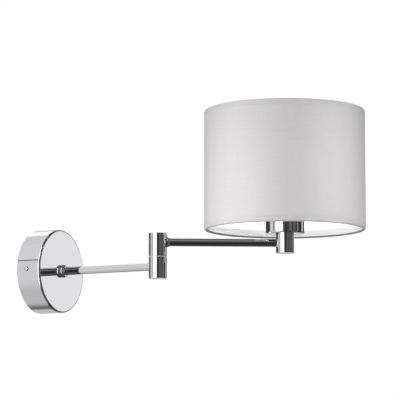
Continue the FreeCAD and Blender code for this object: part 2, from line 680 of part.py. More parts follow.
def shade_spider():
    """Fitter ring with its welded spokes, which end against the bottom wire ring."""
    fitter_middle = FITTER_Z + FITTER_T / 2
    ring_z = SHADE_BOTTOM_Z + RING_INSET
    spider = pipe(FITTER_D, LAMPHOLDER_D + 2 * FITTER_ROOM, FITTER_T, V(HOLDER.x, HOLDER.y, FITTER_Z))
    for i in range(SPOKES):
        angle = math.radians(SPOKE_FIRST_DEG + 360 / SPOKES * i)
        outwards = V(math.cos(angle), math.sin(angle), 0)
        foot = V(HOLDER.x, HOLDER.y, 0)
        route = [foot + outwards * SPOKE_START_R + V(0, 0, fitter_middle),
                 foot + outwards * SPOKE_BEND_AT_R + V(0, 0, fitter_middle),
                 foot + outwards * WIRE_RING_R + V(0, 0, ring_z)]
        spider = spider.fuse(wire_along(route, SHADE_WIRE_D, SPOKE_BEND_R))
    return spider.cut(wire_ring(ring_z))


def shade_top_ring():
    return wire_ring(SHADE_BOTTOM_Z + SHADE_H - RING_INSET)


def shade_drum():
    return pipe(SHADE_D, SHADE_D - 2 * SHADE_WALL, SHADE_H, V(HOLDER.x, HOLDER.y, SHADE_BOTTOM_Z))


# ---- bulb --------------------------------------------------------------------------------------
BULB_FOOT = HOLDER_CAP_H + INSULATOR_H + 2.0
BULB_CAP_D = 26.2
BULB_CAP_T = 0.4
BULB_CAP_H = 26.0            # from the foot contact's base to the glass
FOOT_CONTACT_D = 9.0
FOOT_CONTACT_T = 0.5
FOOT_GLASS_D = 10.0          # underside of the foot's black glass
FOOT_CONE_H = 2.5
FOOT_GLASS_H = 3.0
FOOT_H = FOOT_CONTACT_T + FOOT_GLASS_H
BULB_R = 30.0
NECK_R = 13.4
NECK_H = 3.0                 # straight neck above the cap
NECK_BLEND_R = 30.0
GLASS_T = 1.0


def bulb_outline(inset):
    """Half outline of the envelope: neck, blend arc and globe arc, moved in by inset."""
    globe_h = math.sqrt((BULB_R + NECK_BLEND_R) ** 2 - (NECK_R + NECK_BLEND_R) ** 2)
    blend_centre = V(NECK_R + NECK_BLEND_R, 0, NECK_H)
    globe_centre = V(0, 0, NECK_H + globe_h)
    towards = (blend_centre - globe_centre).normalize()
    globe_r = BULB_R - inset
    blend_r = NECK_BLEND_R + inset
    meet = globe_centre + towards * globe_r
    neck = V(NECK_R - inset, 0, NECK_H)
    blend_mid = blend_centre + ((meet - blend_centre) + (neck - blend_centre)).normalize() * blend_r
    top = globe_centre + V(0, 0, globe_r)
    globe_mid = globe_centre + ((meet - globe_centre) + (top - globe_centre)).normalize() * globe_r
    foot = V(NECK_R - inset, 0, 0)
    return [Part.LineSegment(foot, neck).toShape(), Part.Arc(neck, blend_mid, meet).toShape(),
            Part.Arc(meet, globe_mid, top).toShape(), Part.LineSegment(top, V(0, 0, 0)).toShape(),
            Part.LineSegment(V(0, 0, 0), foot).toShape()]


def bulb_envelope():
    outer = Part.Face(Part.Wire(bulb_outline(0))).revolve(V(0, 0, 0), Z_AXIS, 360)
    inner = Part.Face(Part.Wire(bulb_outline(GLASS_T))).revolve(V(0, 0, 0), Z_AXIS, 360)
    return placed(outer.cut(inner), on_holder(BULB_FOOT + BULB_CAP_H))


def bulb_cap():
    return pipe(BULB_CAP_D, BULB_CAP_D - 2 * BULB_CAP_T, BULB_CAP_H - FOOT_H, on_holder(BULB_FOOT + FOOT_H))


def bulb_foot_insulator():
    cap_r = BULB_CAP_D / 2
    outline = [(0, 0), (FOOT_GLASS_D / 2, 0), (cap_r, FOOT_CONE_H), (cap_r, FOOT_GLASS_H), (0, FOOT_GLASS_H)]
    return turned(outline, on_holder(BULB_FOOT + FOOT_CONTACT_T))


def bulb_foot_contact():
    return rod(FOOT_CONTACT_D, FOOT_CONTACT_T, on_holder(BULB_FOOT))


# ---- internal wiring ---------------------------------------------------------------------------
FLEX_BEND_R = 6.0
FLEX_INNER_END = FACE_Y + ARM_INSIDE_CANOPY + 2.0
FLEX_UPPER_END = 9.5         # height above the cup's floor where the flex splits into its cores
CORE_APART = 0.95            # the cores' distance from the flex's axis where they leave it
CORE_BEND_R = 2.5
CORE_END_BEND_R = 2.0        # in the lampholder's cap
CANOPY_CORE_START = 5.0      # straight runs of the cores in the canopy: from the flex,
POLE_LEAD = 5.0              # before the terminal block,
POLE_DEPTH = 4.0             # inside it,
BARREL_LEAD = 4.0            # before the earth terminal's barrel
BARREL_DEPTH = 3.0           # and inside it
HOLDER_CORE_RUN = 3.0        # straight runs of the cores at both ends in the lampholder's cap
TERMINAL_CORE_DEPTH = 2.0


def inner_flex():
    """Flex from the canopy through the inner arm, up to the middle of the knuckle."""
    route = [V(0, FLEX_INNER_END, 0), KNUCKLE, KNUCKLE + V(0, 0, SPLIT_Z + FRICTION_WASHER_T / 2)]
    return wire_along(route, FLEX_D, FLEX_BEND_R)


def outer_flex():
    """Flex from the middle of the knuckle through the outer arm, up into the lampholder's cap."""
    route = [KNUCKLE + V(0, 0, SPLIT_Z + FRICTION_WASHER_T / 2), KNUCKLE + V(0, 0, OUTER_ARM_Z), HOLDER,
             on_holder(FLEX_UPPER_END)]
    return wire_along(route, FLEX_D, FLEX_BEND_R)


def canopy_core(side):
    """Core from the flex's end to its pole of the terminal block."""
    start = V(side * CORE_APART, FLEX_INNER_END, CORE_APART / 2)
    pole = V(side * POLE_X, block_centre().y, BLOCK_Z - BLOCK_SIZE[2] / 2)
    route = [start, start + V(0, CANOPY_CORE_START, 0), pole - V(0, 0, POLE_LEAD), pole + V(0, 0, POLE_DEPTH)]
    return wire_along(route, CORE_D, CORE_BEND_R)


def canopy_earth_core():
    """Core from the flex's end into the barrel of the earth screw's ring terminal."""
    start = V(0, FLEX_INNER_END, -CORE_APART * 1.2)
    barrel = barrel_mouth()
    route = [start, start + V(0, CANOPY_CORE_START, 0), barrel - V(BARREL_LEAD, 0, 0),
             barrel + V(BARREL_DEPTH, 0, 0)]
    return wire_along(route, CORE_D, CORE_BEND_R)


def lampholder_core(side):
    """Core from the flex's end to its terminal in the lampholder's insulator."""
    start = on_holder(FLEX_UPPER_END) + V(side * CORE_APART, 0, 0)
    terminal = on_holder(HOLDER_CAP_H) + V(side * TERMINAL_X, 0, 0)
    run = V(0, 0, HOLDER_CORE_RUN)
    route = [start, start + run, terminal - run, terminal + V(0, 0, TERMINAL_CORE_DEPTH)]
    return wire_along(route, CORE_D, CORE_END_BEND_R)


PARTS = {
    "wall_bracket": wall_bracket,
    "canopy": canopy,
    "canopy_side_screws": canopy_side_screws,
    "terminal_block": terminal_block,
    "terminal_tubes": terminal_tubes,
    "terminal_screws": terminal_screws,
    "terminal_fixing_screw": terminal_fixing_screw,
    "earth_ring_terminal": earth_ring_terminal,
    "earth_screw": earth_screw,
    "canopy_collar": canopy_collar,
    "arm_lock_washer": arm_lock_washer,
    "arm_lock_nut": arm_lock_nut,
    "inner_arm": inner_arm,
    "knuckle_lower": knuckle_lower,
    "knuckle_lower_cap": knuckle_lower_cap,
    "pivot_tube": pivot_tube,
    "pivot_lower_nut": pivot_lower_nut,
    "friction_washer": friction_washer,
    "stop_pin": stop_pin,
    "pivot_flat_washer": pivot_flat_washer,
    "pivot_wave_washer": pivot_wave_washer,
    "pivot_top_nut": pivot_top_nut,
    "knuckle_upper": knuckle_upper,
    "knuckle_upper_cap": knuckle_upper_cap,
    "pivot_bush": pivot_bush,
    "outer_arm_ferrule": outer_arm_ferrule,
    "outer_arm": outer_arm,
    "arm_socket_holder": arm_socket_holder,
    "holder_plug": holder_plug,
    "holder_nipple": holder_nipple,
    "nipple_nut": nipple_nut,
    "socket_cup": socket_cup,
    "lampholder_cap": lampholder_cap,
    "lampholder_body": lampholder_body,
    "lampholder_insulator": lampholder_insulator,
    "lampholder_screw_shell": lampholder_screw_shell,
    "lampholder_centre_contact": lampholder_centre_contact,
    "shade_ring_nuts": shade_ring_nuts,
    "shade_spider": shade_spider,
    "shade_bottom_ring": shade_bottom_ring,
    "shade_top_ring": shade_top_ring,
    "shade_drum": shade_drum,
    "bulb_envelope": bulb_envelope,
    "bulb_cap": bulb_cap,
    "bulb_foot_insulator": bulb_foot_insulator,
    "bulb_foot_contact": bulb_foot_contact,
    "inner_flex": inner_flex,
    "outer_flex": outer_flex,
    "canopy_live_core": lambda: canopy_core(-1),
    "canopy_neutral_core": lambda: canopy_core(1),
    "canopy_earth_core": canopy_earth_core,
    "lampholder_live_core": lambda: lampholder_core(-1),
    "lampholder_neutral_core": lambda: lampholder_core(1),
}

os.makedirs("parts", exist_ok=True)
for name, make in PARTS.items():
    shape = make()
    if not shape.isValid() or any(solid.Volume <= 0 for solid in shape.Solids) or not shape.Solids:
        raise ValueError(f"{name} is not a valid solid")
    shape.exportStep(f"parts/{name}.step")
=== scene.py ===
"""Looks of a swing arm wall sconce: chrome canopy, arms, knuckle, lampholder, bulb and fabric drum shade.

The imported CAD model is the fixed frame, and places and outside sizes are read from its nodes' boxes.
Outlines are (radius, height) points in millimetres; meshes are written in metres in the row frame.
"""
import json
import math

import bmesh
import bpy
from mathutils import Matrix, Vector

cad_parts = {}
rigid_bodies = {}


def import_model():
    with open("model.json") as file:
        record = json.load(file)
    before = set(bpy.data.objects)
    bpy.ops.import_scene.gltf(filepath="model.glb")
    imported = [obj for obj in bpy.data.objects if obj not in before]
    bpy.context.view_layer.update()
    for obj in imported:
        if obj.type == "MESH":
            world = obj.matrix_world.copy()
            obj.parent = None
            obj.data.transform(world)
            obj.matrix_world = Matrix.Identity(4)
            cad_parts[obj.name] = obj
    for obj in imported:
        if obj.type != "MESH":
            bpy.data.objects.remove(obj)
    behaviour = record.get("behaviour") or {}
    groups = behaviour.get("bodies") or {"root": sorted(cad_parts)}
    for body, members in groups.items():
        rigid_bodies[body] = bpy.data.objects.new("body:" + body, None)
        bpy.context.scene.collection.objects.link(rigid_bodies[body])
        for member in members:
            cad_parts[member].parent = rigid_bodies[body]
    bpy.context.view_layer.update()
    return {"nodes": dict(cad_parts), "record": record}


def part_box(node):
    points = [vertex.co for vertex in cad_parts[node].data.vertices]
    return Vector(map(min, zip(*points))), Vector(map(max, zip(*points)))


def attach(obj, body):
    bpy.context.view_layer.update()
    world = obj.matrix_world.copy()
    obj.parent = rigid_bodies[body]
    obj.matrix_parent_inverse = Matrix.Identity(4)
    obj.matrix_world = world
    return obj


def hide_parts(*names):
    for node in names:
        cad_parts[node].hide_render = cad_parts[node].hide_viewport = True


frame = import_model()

MM = 0.001
WALL_BODY = "wall_arm"
SWING_BODY = "swing_head"
UP = Vector((0, 0, 1))
OUT_OF_WALL = Vector((0, -1, 0))

# ---- sizes the CAD nodes' boxes don't give, in millimetres ---------------------------------------
CANOPY_SHEET = 1.2
CANOPY_EDGE_R = 2.4
CANOPY_INSIDE_R = 1.4
CANOPY_RIM_R = 0.35
ARM_BORE_R = 5.1
COLLAR_LAND = 0.15           # flat left in the middle of the collar's rounded edge, each way
SCREW_SLOT_W = 0.9
SCREW_SLOT_DEPTH = 0.9
SHANK_R = 2.0
SHANK_L = 2.0
DOME_LIFT = 0.02             # the screw's dome starts this far off the canopy
TUBE_WALL = 1.0
TUBE_END_R = 0.3
BODY_BORE_R = 9.0            # bore of the knuckle halves and of the holder
BODY_EDGE_R = 0.4
BODY_MOUTH_R = 0.2           # edge of that bore
LOWER_FLOOR = (7.5, 11.5)    # heights of the knuckle floors
UPPER_FLOOR = (12.1, 17.1)
PIVOT_HOLE_R = 5.0
BUSH_HOLE_R = 6.0
CAP_GAP = 0.06
CAP_EDGE_R = 0.3
FERRULE_R = 6.5
FERRULE_OUT = 3.2
FERRULE_SUNK = 1.0           # how far the ferrule reaches into the knuckle
FERRULE_RIM = (0.5, 0.4)     # its straight rim: length out of the knuckle, edge radius
FERRULE_NECK = (1.5, 0.9)    # foot of its flare: distance out, wall and edge radius
FERRULE_LIP = (0.5, 0.25)    # its thin end: wall, edge radius
HOLDER_FLOOR_T = 3.0
HOLDER_TOP_R = 0.15
CUP_WALL = 1.0
CUP_EDGE_R = 2.2
CUP_INSIDE_R = 1.2
CUP_LIP_R = 0.3

LAMPHOLDER_BORE_R = 16.5
THREAD_START = 22.0          # above the lampholder body's lower end
THREAD_PITCH = 2.5
THREAD_DEPTH = 0.45
THREAD_END = 2.0             # the thread stops this far below the upper end
THREAD_ROWS = 10             # rows of points in each turn
SLEEVE_CHAMFER = 0.4
SLEEVE_TOP_R = 1.0
GRIPS = 12
GRIP_R = 1.5
GRIP_OUT = 0.45              # middle of each finger notch outside the ring nut's rim
RING_FIT = 0.05
RING_EDGE_R = 0.5
RING_SOLID = 1.0             # wall beside the bore that the notches leave alone
LAMP_THREAD_PITCH = 3.62     # round thread of a 27 mm lamp cap
LAMP_THREAD_DEPTH = 0.75
LAMP_SKIRT = 4.5             # plain length above the thread
LAMP_RUN_OUT = 1.5
LAMP_SHEET = 0.3
LAMP_ROWS = 70
NECK_R = 13.4
NECK_BLEND_R = 30.0
NECK_STRAIGHT = 3.0
GLASS_T = 1.0

WORN_R = 1.0                 # rounded edges under this radius show wear
EDGE_LOOP = 0.4              # next loop of points beside a rounded edge, which keeps the flats flat
WIRE_SIDES = 20
BEND_STEPS = 8
SAME_PLACE = 1e-7            # points nearer than this are joined, in metres

SHADE_WIRE_R = 1.5
FABRIC_T = 0.45
LINER_T = 0.45
LAP_DEG = 5.4                # overlap of the fabric's two ends
LAP_RISE_DEG = 5.0
LAP_AT_DEG = 30.0            # plan angle of the lap seam, on the far side from the camera
LAP_GAP = 0.03
CLOTH_TURNS = 288
WAVER = ((0.07, 3, 0.7), (0.04, 7, 0.0))   # out of round: size, waves round the shade, start
ROLL_POINTS = 30
ROLL_DEG = 290
HEM_H = 5.6                  # height of the hem's edge; the fabric is creased there and darker out to its rolled edge
HEM_ROWS = (-1.2, -0.5, 0.0, 0.5, 1.2)     # rows of points about the hem's edge
HEM_PRESS = (0.16, 0.9)      # crease along the hem's edge: depth, half height
WALL_START = 1.5             # first row of the wall above the ring's middle
WALL_ROWS = 24
HEM_POINT = ROLL_POINTS + 3  # places in the fabric's run: the hem's edge, where the roll turns under
UNDER_POINT = ROLL_POINTS - 9              # the ring, and where it turns up inside
INSIDE_POINT = ROLL_POINTS - 19
FADE = 0.0003                # width of a change of colour, in metres
LINER_GAP = 0.1              # room between the fabric and the liner
LINER_END_GAP = 0.3
LINER_ROWS = 16
SPOKE_ANGLES = (28.0, 148.0, 268.0)
SPOKE_START_R = 25.8
SPOKE_BEND_AT = 34.0         # distance of the bend from the shade's axis
SPOKE_BEND_R = 6.0
SPOKE_FOOT_IN = 0.6          # foot of a spoke inside and above the ring's middle line
SPOKE_FOOT_UP = 0.5
SPOKE_WELD = (SHADE_WIRE_R + 0.7, SHADE_WIRE_R + 0.5)      # a bead's radius across, and up
FITTER_WELD = (SHADE_WIRE_R + 0.9, SHADE_WIRE_R + 0.2)
FITTER_HOLE_R = 19.9
FITTER_R = 27.5
FITTER_T = 1.5
FITTER_EDGE_R = 0.35
UNMIRRORED = ("shade_cloth", "shade_liner", "shade_spoke", "spoke_weld", "shade_top_ring",
              "shade_bottom_ring")

# ---- the photograph's view, about the shade's axis: a least-squares fit to the outline -----------
VIEW_AZIMUTH = -61.344
VIEW_ELEVATION = -7.039
VIEW_DISTANCE = 2793.0
AIM_HEIGHT = 83.53
AIM_SIDEWAYS = -105.19
LENS = 202.78
SENSOR = 36.0
CLIP = (0.1, 50.0)           # nearest and farthest drawn, in metres
FLOOR_Z = -560.0
FLOOR_HALF = 4000.0

# Soft boxes and flags round the object: degrees to the camera's right, half width, blur; lowest
# elevation, its blur; highest elevation, its blur; brightness, which a black flag takes off.
PANELS = (
    (-36.0, 21.0, 1.5, -40.0, 8.0, 62.0, 6.0, 1.7),
    (-76.0, 24.0, 1.5, -35.0, 15.0, 23.6, 0.8, 0.63),
    (-76.0, 24.0, 1.5, 25.4, 0.8, 78.0, 4.0, 0.67),
    (-72.0, 4.0, 1.5, -12.0, 3.0, 16.0, 3.0, -0.5),
    (-136.5, 36.5, 1.5, 28.0, 6.0, 78.0, 4.0, 0.63),
    (-98.0, 52.0, 20.0, -89.0, 1.0, -35.0, 15.0, 0.47),
    (-10.0, 3.0, 3.0, -60.0, 4.0, 60.0, 4.0, 0.09),
    (30.0, 8.0, 3.0, -60.0, 4.0, 45.0, 4.0, 0.07),
    (55.0, 8.0, 3.0, -60.0, 4.0, 45.0, 4.0, 0.06),
    (79.0, 2.5, 1.0, -60.0, 4.0, 45.0, 4.0, 0.3),
    (86.0, 9.0, 3.0, 52.0, 3.0, 64.0, 3.0, 0.9),
    (98.0, 7.0, 2.0, -60.0, 4.0, 45.0, 4.0, -0.025),
    (119.2, 4.5, 1.5, -8.0, 4.0, 22.0, 4.0, 0.78),
    (150.0, 30.0, 3.0, -60.0, 4.0, 60.0, 4.0, 0.06),
    (180.0, 25.0, 6.0, -40.0, 6.0, 60.0, 6.0, 0.5),
    (15.0, 25.0, 4.0, 31.0, 2.0, 38.0, 2.0, 0.4),
    (12.5, 7.5, 1.5, 47.0, 4.0, 89.0, 1.0, 0.16),
    (0.0, 14.0, 2.0, -89.0, 1.0, 2.0, 1.5, -0.025),
    (3.2, 1.5, 1.0, 4.0, 1.5, 29.0, 2.0, -0.04),
)
AMBIENT = 0.052
# Narrow upright lights beside the shade, for the satin's soft bands. They move with the shade: degrees
# to the camera's right, distance from the shade's axis, height of the middle above the shade's, length,
# watts. All but the last row began as a least-squares fit to the photograph's tones, then were changed.
STRIP_LIGHTS = (
    (-36.0, 220.0, -120.0, 300.0, 0.066),
    (-36.0, 220.0, 50.0, 300.0, 0.022),
    (38.0, 220.0, 50.0, 300.0, 0.1),
    (36.0, 220.0, -120.0, 300.0, 0.05),
    (-75.0, 220.0, -120.0, 300.0, 0.045),
    (80.0, 350.0, -120.0, 300.0, 0.17),
    (80.0, 800.0, -120.0, 600.0, 1.25),
    (180.0, 800.0, 0.0, 600.0, 2.2),
)
STRIP_W = 20.0
LINER_LIGHT = (420.0, 130.0, 9.5)     # distance under the shade's middle, width, watts
FLOOR_GLOW = 0.42                     # the floor's own light, so that it stays pale from every side


# ---- places read from the CAD --------------------------------------------------------------------
def span(node):
    """Lowest and highest corner of a CAD node, in millimetres."""
    low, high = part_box(node)
    return low / MM, high / MM


def middle(node):
    low, high = span(node)
    return (low + high) / 2


def plan(point):
    return Vector((point.x, point.y, 0))


KNUCKLE = plan(middle("knuckle_lower"))
HOLDER = plan(middle("arm_socket_holder"))
OUTER_ARM_DIR = (HOLDER - KNUCKLE).normalized()
OUTER_ARM_Z = middle("outer_arm").z


# ---- mesh helpers --------------------------------------------------------------------------------
def facing(start, direction):
    """Placement of an outline drawn up +Z from the origin: moved to start, turned along direction."""
    turn = Vector(direction).to_track_quat("Z", "Y").to_matrix().to_4x4()
    return Matrix.Translation(Vector(start)) @ turn


def arc(centre, radius, start_deg, end_deg, steps):
    """Points of an arc about (radius, height) centre, both ends included."""
    found = []
    for i in range(steps + 1):
        angle = math.radians(start_deg + (end_deg - start_deg) * i / steps)
        found.append((centre[0] + radius * math.cos(angle), centre[1] + radius * math.sin(angle)))
    return found


def rounded(corners, steps=6):
    """Closed outline of (radius, height, edge) points; edge is 1 where it wears.

    A corner's third number is the radius that rounds it.
    """
    outline = []
    for i, corner in enumerate(corners):
        here = Vector(corner[:2])
        if len(corner) == 2:
            outline.append((here.x, here.y, 0.0))
            continue
        before = Vector(corners[i - 1][:2])
        after = Vector(corners[(i + 1) % len(corners)][:2])
        back = (before - here).normalized()
        ahead = (after - here).normalized()
        half = back.angle(ahead) / 2
        setback = corner[2] / math.tan(half)
        centre = here + (back + ahead).normalized() * (corner[2] / math.sin(half))
        first = here + back * setback - centre
        last = here + ahead * setback - centre
        beside = setback + EDGE_LOOP
        if (before - here).length > 2 * beside:
            outline.append((*(here + back * beside), 0.0))
        for step in range(steps + 1):
            spoke = first.lerp(last, step / steps).normalized() * corner[2]
            outline.append((centre.x + spoke.x, centre.y + spoke.y, float(corner[2] < WORN_R)))
        if (after - here).length > 2 * beside:
            outline.append((*(here + ahead * beside), 0.0))
    return outline


def mesh_from(name, points, faces, edge_marks=None, sharp_deg=35.0):
    """Smooth-shaded mesh in metres from points in millimetres, with an edge mark for each if given."""
    mesh = bpy.data.meshes.new(name)
    mesh.from_pydata([tuple(Vector(p) * MM) for p in points], [], faces)
    mesh.validate()
    mesh.shade_smooth()
    mesh.set_sharp_from_angle(angle=math.radians(sharp_deg))
    if edge_marks:
        marks = mesh.attributes.new("edge", "FLOAT", "POINT")
        marks.data.foreach_set("value", edge_marks)
    return mesh


def lathe(name, outline, place, segments=128, warp=None, sharp_deg=35.0):
    """Mesh turned about place's Z axis. warp(radius, height, angle) returns a changed radius."""
    points = []
    marks = []
    for radius, height, edge in outline:
        for i in range(segments):
            angle = 2 * math.pi * i / segments
            r = warp(radius, height, angle) if warp else radius
            points.append(place @ Vector((r * math.cos(angle), r * math.sin(angle), height)))
            marks.append(edge)
    faces = []
    rows = len(outline)
    for row in range(rows):
        following = (row + 1) % rows
        for i in range(segments):
            j = (i + 1) % segments
            faces.append((row * segments + i, row * segments + j, following * segments + j,
                          following * segments + i))
    mesh = mesh_from(name, points, faces, marks, sharp_deg)
    weld_poles(mesh)
    return mesh


def weld_poles(mesh):
    """Joins the points that a turned outline has on its own axis, and makes the faces look outwards."""
    work = bmesh.new()
    work.from_mesh(mesh)
    bmesh.ops.remove_doubles(work, verts=work.verts, dist=SAME_PLACE)
    bmesh.ops.recalc_face_normals(work, faces=work.faces)
    work.to_mesh(mesh)
    work.free()


def disc_outline(radius, bottom, top, edge_r):
    """Outline of a solid disc, edges rounded."""
    return rounded([(0, bottom), (radius, bottom, edge_r), (radius, top, edge_r), (0, top)])


def pipe_outline(outer_r, inner_r, bottom, top, edge_r):
    return rounded([(inner_r, bottom, edge_r), (outer_r, bottom, edge_r), (outer_r, top, edge_r),
                    (inner_r, top, edge_r)])


def add_piece(mesh, slot, body, *nodes):
    """Object for a mesh, in its slot's finish, riding on a body and standing for CAD nodes."""
    piece = bpy.data.objects.new(mesh.name, mesh)
    bpy.context.scene.collection.objects.link(piece)
    mesh.materials.append(FINISHES[slot])
    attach(piece, body)
    if nodes:
        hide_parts(*nodes)
    return piece


def tube_mesh(name, points, radius, bend_r):
    """Round wire through the points, with each corner rounded to bend_r."""
    route = [Vector(points[0])]
    for before, corner, after in zip(points, points[1:], points[2:]):
        back = (before - corner).normalized()
        ahead = (after - corner).normalized()
        for step in range(BEND_STEPS + 1):
            t = step / BEND_STEPS
            start = corner + back * bend_r
            end = corner + ahead * bend_r
            route.append(start.lerp(corner, t).lerp(corner.lerp(end, t), t))
    route.append(Vector(points[-1]))
    return swept(name, route, radius)


def swept(name, route, radius):
    """Tube of one radius along a route of points."""
    sides = WIRE_SIDES
    points = []
    side = UP.cross(route[1] - route[0]).normalized()
    for i, here in enumerate(route):
        ahead = (route[min(i + 1, len(route) - 1)] - route[max(i - 1, 0)]).normalized()
        side = (side - ahead * side.dot(ahead)).normalized()
        other = ahead.cross(side)
        for k in range(sides):
            angle = 2 * math.pi * k / sides
            points.append(here + (side * math.cos(angle) + other * math.sin(angle)) * radius)
    faces = [tuple(range(sides))]
    for i in range(len(route) - 1):
        for k in range(sides):
            n = (k + 1) % sides
            faces.append((i * sides + k, (i + 1) * sides + k, (i + 1) * sides + n, i * sides + n))
    faces.append(tuple(range(len(points) - sides, len(points))))
    mesh = mesh_from(name, points, faces, sharp_deg=50.0)
    weld_poles(mesh)
    return mesh


# ---- node helpers --------------------------------------------------------------------------------
def node(tree, kind, inputs=None, **settings):
    """New shader node; inputs are values, or sockets to link, by input name or number."""
    made = tree.nodes.new(kind)
    for name, value in settings.items():
        setattr(made, name, value)
    for name, value in (inputs or {}).items():
        if isinstance(value, bpy.types.NodeSocket):
            tree.links.new(value, made.inputs[name])
        else:
            made.inputs[name].default_value = value
    return made


def maths(tree, operation, first, second=0.0, third=0.0):
    return node(tree, "ShaderNodeMath", {0: first, 1: second, 2: third}, operation=operation).outputs[0]


def noise(tree, where, per_metre, detail=2.0, distortion=0.0):
    made = node(tree, "ShaderNodeTexNoise",
                {"Vector": where, "Scale": per_metre, "Detail": detail, "Distortion": distortion})
    return made.outputs["Fac"]


def between(tree, value, low, high, to_low=0.0, to_high=1.0):
    """value's step from low to high, taken smoothly to the range to_low to to_high."""
    made = node(tree, "ShaderNodeMapRange", {"Value": value, "From Min": low, "From Max": high,
                                             "To Min": to_low, "To Max": to_high},
                interpolation_type="SMOOTHSTEP")
    return made.outputs["Result"]


def mixed(tree, amount, first, second):
    """Colour between first and second by amount; each is a colour or a socket."""
    made = node(tree, "ShaderNodeMix", {"Factor": amount}, data_type="RGBA")
    colours = [socket for socket in made.inputs if socket.type == "RGBA"]
    for socket, value in zip(colours, (first, second)):
        if isinstance(value, bpy.types.NodeSocket):
            tree.links.new(value, socket)
        else:
            socket.default_value = (*value, 1.0)
    return next(socket for socket in made.outputs if socket.type == "RGBA")


def bump(tree, height, depth, strength, under=None):
    """Bump normal from a height, depth in metres."""
    inputs = {"Height": height, "Distance": depth, "Strength": strength}
    if under:
        inputs["Normal"] = under
    return node(tree, "ShaderNodeBump", inputs).outputs["Normal"]


def new_finish(name, **values):
    """Material of one Principled shader, whose uniform inputs are set on the shader itself."""
    material = bpy.data.materials.new(name)
    material.use_nodes = True
    shader = material.node_tree.nodes["Principled BSDF"]
    for key, value in values.items():
        shader.inputs[key.replace("_", " ")].default_value = value
    return material, material.node_tree, shader


def place_in(tree):
    """Place on the piece, in metres in the row frame at rest."""
    return node(tree, "ShaderNodeTexCoord").outputs["Object"]


def edge_mark(tree):
    return node(tree, "ShaderNodeAttribute", attribute_name="edge").outputs["Fac"]


def link(tree, shader, colour, roughness=None, normal=None):
    for name, socket in (("Base Color", colour), ("Roughness", roughness), ("Normal", normal)):
        if socket:
            tree.links.new(socket, shader.inputs[name])


# ---- finishes ------------------------------------------------------------------------------------
def polished_chrome():
    """Mirror chrome: faint polishing haze, smudges, a slow ripple, and edges rubbed a little warmer."""
    material, tree, shader = new_finish("polished_chrome", Metallic=1.0)
    where = place_in(tree)
    cloud = noise(tree, where, 14.0, 3.0)
    smudge = noise(tree, where, 55.0, 6.0, 0.6)
    rub = maths(tree, "MULTIPLY", edge_mark(tree), between(tree, noise(tree, where, 160.0), 0.4, 0.7))
    plate = mixed(tree, cloud, (0.83, 0.84, 0.86), (0.89, 0.895, 0.90))
    colour = mixed(tree, maths(tree, "MULTIPLY", rub, 0.5), plate, (0.74, 0.72, 0.69))
    haze = between(tree, smudge, 0.45, 0.75, 0.025, 0.075)
    roughness = maths(tree, "MULTIPLY_ADD", rub, 0.08, haze)
    ripple = bump(tree, noise(tree, where, 38.0, 1.0), 0.00003, 0.2)
    scratch = bump(tree, noise(tree, where, 900.0, 4.0), 0.000003, 0.2, ripple)
    link(tree, shader, colour, roughness, scratch)
    return material


def plated_metal(name, light, dark, rough_low, rough_high, grain):
    """Metal part with patchy plating, a fine grain and duller edges."""
    material, tree, shader = new_finish(name, Metallic=1.0)
    where = place_in(tree)
    patch = noise(tree, where, grain / 8, 4.0, 0.4)
    fine = noise(tree, where, grain, 5.0)
    colour = mixed(tree, between(tree, patch, 0.3, 0.7), dark, light)
    gloss = between(tree, fine, 0.3, 0.7, rough_low, rough_high)
    dull = maths(tree, "MULTIPLY_ADD", edge_mark(tree), 0.08, gloss)
    link(tree, shader, colour, dull, bump(tree, fine, 0.00002, 0.4))
    return material


def moulded(name, light, dark, rough_low, rough_high, grain):
    """Moulded, fired or coated part: slightly mottled colour, uneven gloss and a fine skin."""
    material, tree, shader = new_finish(name)
    where = place_in(tree)
    mottle = noise(tree, where, grain / 10, 3.0)
    skin = noise(tree, where, grain, 4.0)
    worn = maths(tree, "MULTIPLY", edge_mark(tree), between(tree, mottle, 0.45, 0.65))
    body = mixed(tree, between(tree, mottle, 0.25, 0.75), dark, light)
    colour = mixed(tree, maths(tree, "MULTIPLY", worn, 0.35), body, tuple(c * 0.8 for c in dark))
    link(tree, shader, colour, between(tree, skin, 0.3, 0.7, rough_low, rough_high),
         bump(tree, skin, 0.00003, 0.3))
    return material


